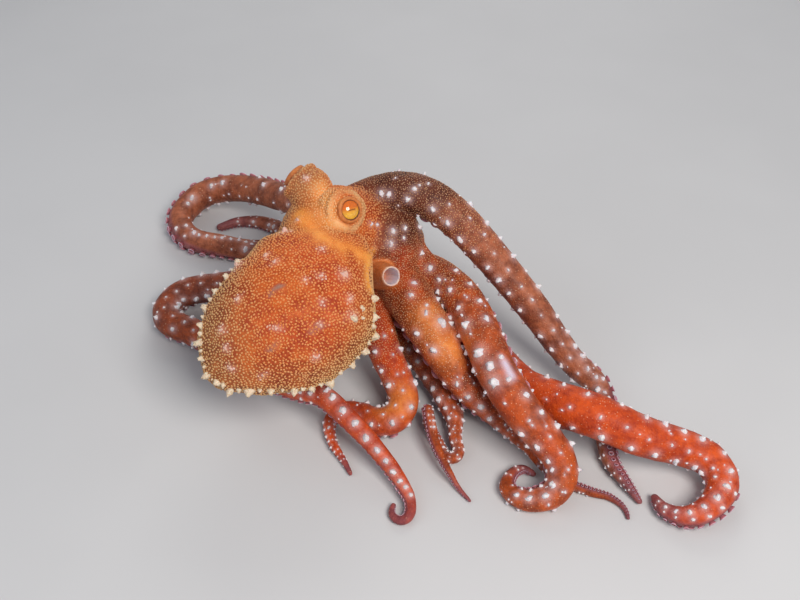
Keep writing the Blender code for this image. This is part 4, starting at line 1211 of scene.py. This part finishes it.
def arm_suckers(arm):
    """Spot, direction, width and height for the suckers of one arm."""
    out = []
    s, row = SUCKER_START, 0
    while s < arm.length - 1.0:
        point, facing, thick = beside(arm, s, SUCKER_TURN * (1 if row % 2 else -1))
        size = SUCKER_SHARE * thick * rng.uniform(0.9, 1.08)
        spot, normal, _, _ = skin_surface.find_nearest(point)
        fits = (spot - point).length < 0.35 * thick + 0.4 and normal.dot(facing) > 0.6
        if fits and size > SUCKER_SMALLEST:
            out.append((spot, (facing + normal).normalized(), size, size))
        s += max(SUCKER_PITCH * thick, 0.8)
        row += 1
    return out


suckers = [row for arm in arms.values() for row in arm_suckers(arm)]
large = [row for row in suckers if row[2] >= LARGE_SUCKER]
small = [row for row in suckers if row[2] < LARGE_SUCKER]
sucker_pieces = grow("suckers", small_shape(14, SUCKER_PROFILE), large, stretch=0.08)
sucker_pieces += grow("small_suckers", small_shape(10, SMALL_SUCKER_PROFILE), small, stretch=0.08)

# %% [markdown]
# Fine grains cover the mantle and the head, about a millimetre wide and nearly touching, and flatter ones
# the roots of the arms. Their places come from a seeded draw over the skin's triangles, in which a grain is
# kept only if no other stands too near.

# %% Grains on the mantle, the head and the crown
GRAIN_GAP, CROWN_GRAIN_GAP = 1.16, 1.1
GRAIN_WIDTH, GRAIN_HEIGHT, CROWN_GRAIN = 0.60, 0.40, 0.62
GRAIN_TRIES = 80000
GRAIN_PROFILE = [(1.0, -0.45), (0.86, 0.42), (0.42, 0.88)]
CROWN_GRAIN_PROFILE = [(1.0, -0.4), (0.66, 0.62)]
GRAIN_MASKS = ("edge", "left", "glow", "cheek", "pale", "ridge", "trunk", "dark", "tan")


def grain_places(cover, gap):
    """Evenly strewn spots where the cover is high: spot, normal and the nearest skin point."""
    faces = np.array([f.vertices[:] for f in skin.data.polygons])
    share = cover[faces].min(1)
    faces, share = faces[share > 0.05], share[share > 0.05]
    a, b, c = (skin_points[faces[:, k]] for k in range(3))
    area = np.linalg.norm(np.cross(b - a, c - a), axis=1)
    draw = np.random.default_rng(SEED)
    chosen = draw.choice(len(faces), GRAIN_TRIES, p=area / area.sum())
    chosen = chosen[draw.random(GRAIN_TRIES) < share[chosen] ** 2]
    u, v = draw.random((2, len(chosen), 1))
    u, v = np.where(u + v > 1, 1 - u, u), np.where(u + v > 1, 1 - v, v)
    spots = a[chosen] + (b[chosen] - a[chosen]) * u + (c[chosen] - a[chosen]) * v
    cells, kept = {}, []
    for i, spot in enumerate(spots):
        key = tuple((spot // gap).astype(int))
        near = [j for dx in (-1, 0, 1) for dy in (-1, 0, 1) for dz in (-1, 0, 1)
                for j in cells.get((key[0] + dx, key[1] + dy, key[2] + dz), ())]
        if all(((spots[j] - spot) ** 2).sum() > gap ** 2 for j in near):
            cells.setdefault(key, []).append(i)
            kept.append(i)
    corners = faces[chosen[kept]]
    ups = normals[corners].mean(1)
    return spots[kept], ups / np.linalg.norm(ups, axis=1, keepdims=True), corners[:, 0]


def grow_grains(name, profile, cover, gap, scale):
    """Grains over a cover, with the masks that their colour needs."""
    grain_spots, ups, nearest = grain_places(cover, gap)
    sizes = np.array([rng.uniform(0.8, 1.2) for _ in grain_spots]) * scale
    sizes *= 1 - 0.4 * np.maximum(masks["glow"], masks["cream"])[nearest]
    rows = [(p, n, GRAIN_WIDTH * k, GRAIN_HEIGHT * k) for p, n, k in zip(grain_spots, ups, sizes)]
    extra = {key: masks[key][nearest] for key in GRAIN_MASKS}
    return grow(name, small_shape(6, profile), rows, stretch=0.35, extra=extra)


smooth_parts = (1 - masks["lid"]) * (1 - masks["funnel"]) * (1 - on_ridge * 0.5) * (1 - masks["dash"])
on_roots = off_trunk * soft(64, 18, arm_s - 30 * on_r1) * (1 - masks["oral"])
on_roots *= np.maximum(soft(0.3, 0.0, place_on_arm["oral"]), soft(34, 24, arm_s - 40 * on_r1))
on_roots *= 1 - masks["white"]
grain_pieces = grow_grains("grains", GRAIN_PROFILE, soft(0.3, 0.7, on_trunk) * smooth_parts, GRAIN_GAP, 1.0)
grain_pieces += grow_grains("crown_grains", CROWN_GRAIN_PROFILE, on_roots * smooth_parts, CROWN_GRAIN_GAP,
                            CROWN_GRAIN)

# %% [markdown]
# The eyeball is a fine ball that fills its socket. Three numbers per point say where the point lies: along
# the slit pupil, across it, and how far to the front. The material paints iris and pupil from them.

# %% Eyes
EYE_SHOWN = 6.95
SLIT_TILT = {"right": math.radians(-8), "left": math.radians(6)}


def eyeball(side):
    """One eye, with its pole towards where it looks."""
    centre, facing = EYES[side]
    obj = solid(add_ball, stand(centre, facing), segments=96, ring_count=72, radius=EYE_SHOWN)
    obj.name = f"eyeball_{side}"
    obj.data.name = obj.name
    obj.data.shade_smooth()
    up = (Vector((0, 0, 1)) - facing * facing.z).normalized()
    up = Matrix.Rotation(SLIT_TILT[side], 3, facing) @ up
    out = (to_layout(obj) - np.array(centre)) / EYE_SHOWN
    add_mask(obj, "slit_along", out @ np.array(up.cross(facing)))
    add_mask(obj, "slit_across", out @ np.array(up))
    add_mask(obj, "front", out @ np.array(facing))
    return obj


eyeballs = {side: eyeball(side) for side in EYES}
print("eyes:", ", ".join(eyeballs))

# %% [markdown]
# The colours of an octopus come from tiny coloured sacs in the skin, so they are never flat. Two effects are
# shared by all its materials and built once as node groups. Mottle is cloudy noise with some contrast.
# Specks are small round dots, strewn with gaps, which serve as pale flecks and as fine grain in the bump.

# %% Shared node groups
def new_group(name, inputs, outputs):
    """A shader node group with named float or vector sockets."""
    group = bpy.data.node_groups.new(name, "ShaderNodeTree")
    for socket, kind, value in inputs:
        made = group.interface.new_socket(name=socket, in_out="INPUT", socket_type=kind)
        if value is not None:
            made.default_value = value
    for socket, kind in outputs:
        group.interface.new_socket(name=socket, in_out="OUTPUT", socket_type=kind)
    return group, group.nodes.new("NodeGroupInput"), group.nodes.new("NodeGroupOutput")


def add_node(tree, kind, inputs=None, **settings):
    """A node with its settings, whose inputs are fed by sockets or values."""
    node = tree.nodes.new(kind)
    for key, value in settings.items():
        setattr(node, key, value)
    for socket, value in (inputs or {}).items():
        if isinstance(value, bpy.types.NodeSocket):
            tree.links.new(value, node.inputs[socket])
        else:
            node.inputs[socket].default_value = value
    return node


def math_node(tree, operation, first, second=0.5, clamp=False):
    """Output of a Math node fed by sockets or numbers."""
    node = add_node(tree, "ShaderNodeMath", {0: first, 1: second}, operation=operation, use_clamp=clamp)
    return node.outputs[0]


def remap(tree, value, low, high):
    """A smooth Map Range from low..high to 0..1."""
    ends = {"Value": value, "From Min": low, "From Max": high, "To Min": 0.0, "To Max": 1.0}
    return add_node(tree, "ShaderNodeMapRange", ends, interpolation_type="SMOOTHSTEP").outputs[0]


FLOAT, VECTOR = "NodeSocketFloat", "NodeSocketVector"
mottle_group, entry, leave = new_group("mottle", [("Place", VECTOR, None), ("Per Metre", FLOAT, 60.0)],
                                       [("Mask", FLOAT)])
cloud = add_node(mottle_group, "ShaderNodeTexNoise",
                 {"Detail": 4.0, "Roughness": 0.6, "Vector": entry.outputs["Place"],
                  "Scale": entry.outputs["Per Metre"]})
mottle_group.links.new(remap(mottle_group, cloud.outputs[0], 0.36, 0.64), leave.inputs["Mask"])

specks_group, entry, leave = new_group(
    "specks",
    [("Place", VECTOR, None), ("Per Metre", FLOAT, 700.0), ("Share", FLOAT, 0.5), ("Size", FLOAT, 0.4)],
    [("Mask", FLOAT), ("Height", FLOAT)])
dots = add_node(specks_group, "ShaderNodeTexVoronoi",
                {"Vector": entry.outputs["Place"], "Scale": entry.outputs["Per Metre"]})
pull = add_node(specks_group, "ShaderNodeSeparateColor", {"Color": dots.outputs["Color"]})
chosen = math_node(specks_group, "LESS_THAN", pull.outputs[0], entry.outputs["Share"])
ratio = math_node(specks_group, "DIVIDE", dots.outputs["Distance"], entry.outputs["Size"])
round_dot = remap(specks_group, ratio, 1.0, 0.6)
specks_group.links.new(math_node(specks_group, "MULTIPLY", round_dot, chosen), leave.inputs["Mask"])
dome = math_node(specks_group, "SUBTRACT", 1.0, dots.outputs["Distance"], clamp=True)
specks_group.links.new(dome, leave.inputs["Height"])
print("node groups:", mottle_group.name, specks_group.name)


# %% [markdown]
# Every surface here is wet skin, so the materials share most of their values. A small class starts one with
# those values and offers short ways to read a mask, add an effect, blend two colours and connect the result.

# %% Helpers for materials
WET_SKIN = {"Coat Roughness": 0.25, "Specular IOR Level": 0.22, "Subsurface Radius": (1.0, 0.35, 0.2),
            "Subsurface Scale": 0.0025}


class Finish:
    """A material with a Principled shader and short ways to add colours and bumps to it."""

    def __init__(self, name, roughness=0.45, coat=0.15, glow=0.0, bump=0.4, depth=0.0004):
        self.material = bpy.data.materials.new(name)
        self.material.use_nodes = True
        self.tree = self.material.node_tree
        self.shader = self.tree.nodes["Principled BSDF"]
        own = {"Roughness": roughness, "Coat Weight": coat, "Subsurface Weight": glow}
        for socket, value in {**WET_SKIN, **own}.items():
            self.shader.inputs[socket].default_value = value
        self.bump = add_node(self.tree, "ShaderNodeBump", {"Strength": bump, "Distance": depth})
        self.place = self.tree.nodes.new("ShaderNodeTexCoord").outputs["Object"]

    def mask(self, name, output="Fac"):
        """A stored number of the mesh, or a stored colour with the output Color."""
        return add_node(self.tree, "ShaderNodeAttribute", attribute_name=name).outputs[output]

    def group(self, group, **values):
        """A shared effect with its own values."""
        inputs = {"Place": self.place, **{key.replace("_", " "): value for key, value in values.items()}}
        return add_node(self.tree, "ShaderNodeGroup", inputs, node_tree=group)

    def mottle(self, size):
        """Cloudy mask with patches of about this many millimetres."""
        return self.group(mottle_group, Per_Metre=1 / (size * MM)).outputs["Mask"]

    def specks(self, gap, share, size):
        """Dots about a gap apart in millimetres."""
        return self.group(specks_group, Per_Metre=1 / (gap * MM), Share=share, Size=size)

    def times(self, first, second):
        """Product of two masks."""
        return math_node(self.tree, "MULTIPLY", first, second, clamp=True)

    def math(self, operation, first, second=0.5):
        """Result of a Math node."""
        return math_node(self.tree, operation, first, second)

    def ramp(self, value, low, high):
        """0 to 1 while a mask goes from low to high."""
        return remap(self.tree, value, low, high)

    def mix(self, factor, first, second):
        """Blend of two colours, which are sockets or linear colours."""
        first, second = ((*c, 1.0) if isinstance(c, tuple) else c for c in (first, second))
        return add_node(self.tree, "ShaderNodeMix", {"Factor": factor, 6: first, 7: second},
                        data_type="RGBA").outputs[2]

    def finish(self, colour, height=None, roughness=None):
        """Connect colour, bump height and roughness, and return the material."""
        self.tree.links.new(colour, self.shader.inputs["Base Color"])
        if height is not None:
            self.tree.links.new(height, self.bump.inputs["Height"])
            self.tree.links.new(self.bump.outputs[0], self.shader.inputs["Normal"])
        else:
            self.tree.nodes.remove(self.bump)
        if roughness is not None:
            self.tree.links.new(roughness, self.shader.inputs["Roughness"])
        return self.material


print("finish helper ready")

# %% [markdown]
# The skin is one mesh, so one material paints it all. Two colours are stored per point, the lighter and the
# darker tone of that place, blended from mask to mask: the orange-red of the arms, the orange trunk, the
# dark crown, the purple sucker side, and so on down to the line round the eye.

# %% Tones of the skin
ARM_RED, ARM_BROWN = (0.58, 0.100, 0.018), (0.23, 0.040, 0.012)
TRUNK_RED, CHEEK_ORANGE, CHEEK_CREAM = (0.40, 0.048, 0.011), (0.98, 0.40, 0.080), (0.94, 0.58, 0.28)
FLECK_CREAM, RIDGE_CREAM, EYE_DARK = (0.80, 0.48, 0.30), (0.74, 0.46, 0.22), (0.05, 0.012, 0.008)
# Mask, strength, the lighter tone, and the darker one where it differs; later rows cover earlier ones
TONE_STEPS = [
    ("vivid", 0.8, (0.74, 0.090, 0.010), (0.44, 0.036, 0.008)),
    ("trunk", 1.0, (0.66, 0.140, 0.022), TRUNK_RED),
    ("red", 0.7, (0.60, 0.082, 0.013), (0.34, 0.032, 0.009)),
    # edge: brown rim of the mantle, partly own colour, partly painted shade on its sides and on its left
    ("edge", 1.0, (0.34, 0.130, 0.045), (0.140, 0.048, 0.019)),
    # brown: partly the arms' own brown, partly painted shade
    ("brown", 0.75, (0.44, 0.155, 0.080), (0.17, 0.048, 0.026)),
    # shade: painted shade, darker brown on the first half of arm_l2
    ("shade", 0.7, (0.22, 0.055, 0.028), (0.10, 0.022, 0.013)),
    ("tan", 0.8, (0.46, 0.180, 0.065), (0.22, 0.070, 0.026)),
    ("pale", 0.7, (0.80, 0.40, 0.31)),
    ("dash", 0.8, (0.33, 0.24, 0.19)),
    # dark: the dark root of arm_r1, with painted shade beside the right eye
    ("dark", 0.9, (0.120, 0.026, 0.011), (0.055, 0.012, 0.007)),
    ("glow", 0.9, CHEEK_ORANGE, (0.90, 0.26, 0.042)),
    ("cheek", 0.75, (0.96, 0.46, 0.16), CHEEK_ORANGE),
    ("cream", 0.8, CHEEK_CREAM, CHEEK_ORANGE),
    ("oral", 0.9, (0.36, 0.11, 0.12), (0.22, 0.055, 0.06)),
    ("tip", 0.8, (0.30, 0.09, 0.10), (0.16, 0.05, 0.07)),
    ("bright", 0.8, (0.90, 0.32, 0.070), (0.72, 0.19, 0.038)),
    ("ember", 0.6, (0.62, 0.085, 0.016), (0.36, 0.042, 0.011)),
    ("white", 0.6, (0.82, 0.64, 0.63), (0.68, 0.42, 0.42)),
    ("lilac", 0.85, (0.76, 0.68, 0.82)),
    ("groove", 0.9, TRUNK_RED),
    ("collar", 1.0, (0.86, 0.40, 0.08), CHEEK_ORANGE),
    ("funnel", 1.0, (0.74, 0.240, 0.07), (0.56, 0.150, 0.04)),
    ("lip", 1.0, (0.84, 0.58, 0.44)),
    # bore: pale grey-violet lining, made paler as painted light that stands for a lamp shining straight in
    ("bore", 1.0, (0.62, 0.54, 0.60)),
    ("ridge", 0.8, RIDGE_CREAM, (0.55, 0.27, 0.10)),
    ("lid", 0.9, (0.72, 0.27, 0.075), (0.50, 0.15, 0.045)),
    ("line", 1.0, EYE_DARK),
]


def add_tone(name, first, which):
    """Store a colour per point of the skin, blended from the first colour through all steps."""
    tone = np.tile(np.array(first), (len(skin_points), 1))
    for mask, strength, *colours in TONE_STEPS:
        share = (masks[mask] * strength)[:, None]
        tone = tone * (1 - share) + np.array(colours[which]) * share
    layer = skin.data.attributes.new(name, "FLOAT_COLOR", "POINT")
    opaque = np.hstack([tone, np.ones((len(tone), 1))])
    layer.data.foreach_set("color", opaque.astype(np.float32).ravel())


add_tone("light_tone", ARM_RED, 0)
add_tone("deep_tone", ARM_BROWN, -1)
print("tones from", len(TONE_STEPS), "steps")

# %% [markdown]
# The material mixes the two stored tones with cloudy noise of two sizes and adds pale flecks along the backs
# and round the roots of the arms. Its bump has fine grain, and faint wrinkles that run across the arms.

# %% Skin material
f = Finish("octopus_skin", roughness=0.5, coat=0.06, glow=0.1, bump=0.5, depth=0.0005)
clouds = f.math("ADD", f.times(f.mottle(9.0), 0.65), f.times(f.mottle(2.2), 0.35))
colour = f.mix(clouds, f.mask("light_tone", "Color"), f.mask("deep_tone", "Color"))
arm_flecks = f.times(f.specks(1.25, 0.5, 0.24).outputs["Mask"], f.mask("aboral"))
arm_flecks = f.times(arm_flecks, f.mottle(14.0))
crown_flecks = f.times(f.times(f.specks(1.0, 0.6, 0.30).outputs["Mask"], f.mask("fleck")), 0.8)
colour = f.mix(f.math("MAXIMUM", arm_flecks, crown_flecks), colour, FLECK_CREAM)
grain = f.specks(0.8, 1.0, 0.5).outputs["Height"]
sway = f.math("MULTIPLY", f.mottle(5.0), 7.0)
turns = f.math("ADD", f.math("MULTIPLY", f.mask("along"), 2.0), sway)
wave = f.math("SINE", turns)
wrinkle = f.math("MULTIPLY", f.times(f.mottle(9.0), 0.4), wave)
height = f.math("ADD", grain, wrinkle)
skin.data.materials.clear()
skin.data.materials.append(f.finish(colour, height))
print("skin material:", len(f.tree.nodes), "nodes")

# %% [markdown]
# Grains are paler than the skin between them: peach on the back and tan towards the brown rim. The tan on
# the mantle's left and part of that along the rim is painted shade, and grains are dim where the skin is
# dark, in part painted shade. Knobs are bluish white, papillae cream. Suckers have a pale rim round a pink
# cup, and a purple foot.

# %% Grains, knobs, papillae and suckers
GRAIN_PEACH, GRAIN_TAN, GRAIN_ORANGE = (0.80, 0.33, 0.12), (0.54, 0.29, 0.125), (0.72, 0.20, 0.045)
GRAIN_CREAM, GRAIN_DIM, GRAIN_STRAW = (0.72, 0.32, 0.14), (0.42, 0.21, 0.11), (0.70, 0.42, 0.19)
GRAIN_PINK = (0.85, 0.60, 0.52)
KNOB_WHITE, KNOB_LILAC = (0.88, 0.86, 0.88), (0.62, 0.48, 0.54)
PAPILLA_CREAM, PAPILLA_OCHRE = (0.86, 0.72, 0.54), (0.52, 0.30, 0.14)
BACK_PINK, BACK_ROSE = (0.82, 0.54, 0.46), (0.70, 0.34, 0.23)
CUP_PINK, CUP_FOOT = (0.50, 0.19, 0.22), (0.32, 0.10, 0.12)
CUP_RIM, CUP_DEEP = (0.70, 0.58, 0.73), (0.10, 0.03, 0.05)

f = Finish("grain_skin", roughness=0.5, coat=0.1, glow=0.1)
colour = f.mix(f.mask("tint"), GRAIN_PEACH, GRAIN_ORANGE)
colour = f.mix(f.times(f.mottle(16.0), 0.4), colour, GRAIN_ORANGE)
# Straw grains along the rim are partly painted shade; tan grains on the mantle's left are painted shade
for mask, strength, tone in (("edge", 1.0, GRAIN_STRAW), ("left", 0.8, GRAIN_TAN), ("tan", 0.8, GRAIN_TAN)):
    colour = f.mix(f.times(f.mask(mask), strength), colour, tone)
colour = f.mix(f.mask("trunk"), GRAIN_CREAM, colour)
for mask, strength, tone in (("dark", 1.0, GRAIN_DIM), ("glow", 0.7, CHEEK_ORANGE),
                             ("cheek", 0.7, CHEEK_CREAM), ("pale", 1.0, GRAIN_PINK),
                             ("ridge", 0.7, RIDGE_CREAM)):
    colour = f.mix(f.times(f.mask(mask), strength), colour, tone)
grain_finish = f.finish(colour)


def bump_skin(name, light, deep, patch, share, gap, foot=None):
    """Finish of a knob or papilla: two tones in small patches, and a foot of (edge, strength, tone)."""
    f = Finish(name, roughness=0.5, coat=0.15, glow=0.1, bump=0.5)
    colour = f.mix(f.times(f.mottle(patch), share), light, deep)
    if foot:
        edge, strength, tone = foot
        colour = f.mix(f.times(f.ramp(f.mask("ring"), edge, 0.1), strength), colour, tone)
    return f.finish(colour, f.specks(gap, 1.0, 0.5).outputs["Height"])


knob_finish = bump_skin("knob_skin", KNOB_WHITE, KNOB_LILAC, 1.3, 0.55, 0.5, (0.45, 0.5, ARM_RED))
papilla_finish = bump_skin("papilla_skin", PAPILLA_CREAM, PAPILLA_OCHRE, 1.0, 0.5, 0.5,
                           (0.55, 0.8, PAPILLA_OCHRE))
back_finish = bump_skin("back_papilla_skin", BACK_PINK, BACK_ROSE, 1.0, 0.6, 0.6)

f = Finish("sucker_skin", roughness=0.38, coat=0.25, glow=0.15)
ring = f.mask("ring")
colour = CUP_FOOT
for low, high, tone in ((0.15, 0.42, CUP_PINK), (0.42, 0.56, CUP_RIM), (0.64, 0.78, CUP_PINK),
                        (0.82, 0.98, CUP_DEEP)):
    colour = f.mix(f.ramp(ring, low, high), colour, tone)
colour = f.mix(f.times(f.mottle(2.0), 0.3), colour, CUP_FOOT)
sucker_finish = f.finish(colour)

for pieces, finish in ((grain_pieces, grain_finish), (knob_pieces, knob_finish),
                       (rim_pieces, papilla_finish), (back_pieces, back_finish),
                       (sucker_pieces, sucker_finish)):
    for piece in pieces:
        piece.data.materials.append(finish)
print("materials:", len(bpy.data.materials))

# %% [markdown]
# The iris is a band of orange above and yellow below the slit pupil, inside a thin dark ring. The eye is
# wet, so it gets a sharp clear coat.

# %% Eye material
IRIS_ORANGE, IRIS_YELLOW, PUPIL_BROWN = (0.78, 0.17, 0.016), (0.95, 0.52, 0.05), (0.16, 0.045, 0.015)
IRIS_BROWN = (0.40, 0.10, 0.03)
SLIT_HALF_LENGTH, SLIT_HALF_WIDTH = 0.36, 0.03
IRIS_EDGE = 0.735

f = Finish("eye_surface", roughness=0.12, coat=1.0, glow=0.0)
f.shader.inputs["Coat Roughness"].default_value = 0.03
across = f.mask("slit_across")
along = f.math("ABSOLUTE", f.mask("slit_along"))
iris = f.mix(f.ramp(across, -0.30, 0.25), IRIS_YELLOW, IRIS_ORANGE)
iris = f.mix(f.times(f.mottle(0.9), 0.35), iris, IRIS_BROWN)
ring = f.ramp(f.mask("front"), IRIS_EDGE + 0.04, IRIS_EDGE)
colour = f.mix(ring, iris, EYE_DARK)
taper = f.ramp(along, SLIT_HALF_LENGTH, SLIT_HALF_LENGTH - 0.12)
off_middle = f.math("ABSOLUTE", across)
slit = f.times(f.ramp(off_middle, SLIT_HALF_WIDTH + 0.03, SLIT_HALF_WIDTH), taper)
colour = f.mix(f.times(slit, 0.75), colour, PUPIL_BROWN)
eye_finish = f.finish(colour)
for ball in eyeballs.values():
    ball.data.materials.append(eye_finish)
print("eye material ready")

# %% [markdown]
# The studio is a wide pale floor under a pale sky. One large soft light stands above and to the right of the
# camera, where the photo's own lamp was, and weaker ones from the left and from behind open the shadows.

# %% Floor and light
FLOOR_SIZE = 3.0
FLOOR_GREY, FLOOR_PALE = (0.60, 0.60, 0.61), (0.63, 0.63, 0.64)
SKY_COLOUR, SKY_STRENGTH = (0.85, 0.90, 1.0, 1.0), 0.28
# Place in metres, side in metres, watts, colour; each is a square area light that faces the animal
LIGHTS = {
    "key_light": ((0.36, -0.66, 0.82), 0.45, 9.0, (1.0, 0.96, 0.91)),
    "fill_light": ((-0.80, -0.30, 0.60), 0.8, 1.8, (0.92, 0.96, 1.0)),
    "rim_light": ((0.05, 0.80, 0.65), 0.6, 2.4, (1.0, 0.97, 0.92)),
}
bpy.ops.object.select_all(action="DESELECT")
bpy.ops.mesh.primitive_plane_add(size=FLOOR_SIZE)
floor = bpy.context.object
floor.name = "floor"
f = Finish("floor_paper", roughness=0.8, coat=0.0)
f.shader.inputs["Specular IOR Level"].default_value = 0.2
floor.data.materials.append(f.finish(f.mix(f.mottle(400.0), FLOOR_GREY, FLOOR_PALE)))
world = bpy.data.worlds.new("studio")
world.use_nodes = True
world.node_tree.nodes["Background"].inputs["Color"].default_value = SKY_COLOUR
world.node_tree.nodes["Background"].inputs["Strength"].default_value = SKY_STRENGTH
bpy.context.scene.world = world
bpy.context.scene.view_settings.view_transform = "Standard"
for name, (place, size, power, colour) in LIGHTS.items():
    lamp = bpy.data.lights.new(name, "AREA")
    lamp.size = size
    lamp.energy = power
    lamp.color = colour
    obj = bpy.data.objects.new(name, lamp)
    obj.location = place
    obj.rotation_euler = (-Vector(place)).to_track_quat("-Z", "Y").to_euler()
    bpy.context.scene.collection.objects.link(obj)

# %% [markdown]
# Last, each piece is tied to the model: it rides on the one body there is, and the solids that it covers are
# hidden.

# %% Tie the pieces to the solids
flesh = [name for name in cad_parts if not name.startswith("eye")]
pieces = [skin, *grain_pieces, *knob_pieces, *rim_pieces, *back_pieces, *sucker_pieces, *eyeballs.values()]
for piece in pieces:
    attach(piece, "root")
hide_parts(*flesh)
for side, ball in eyeballs.items():
    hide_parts(f"eye_{side}")
triangles = sum(len(face.vertices) - 2 for piece in pieces for face in piece.data.polygons)
print("pieces:", len(pieces), "triangles:", triangles)
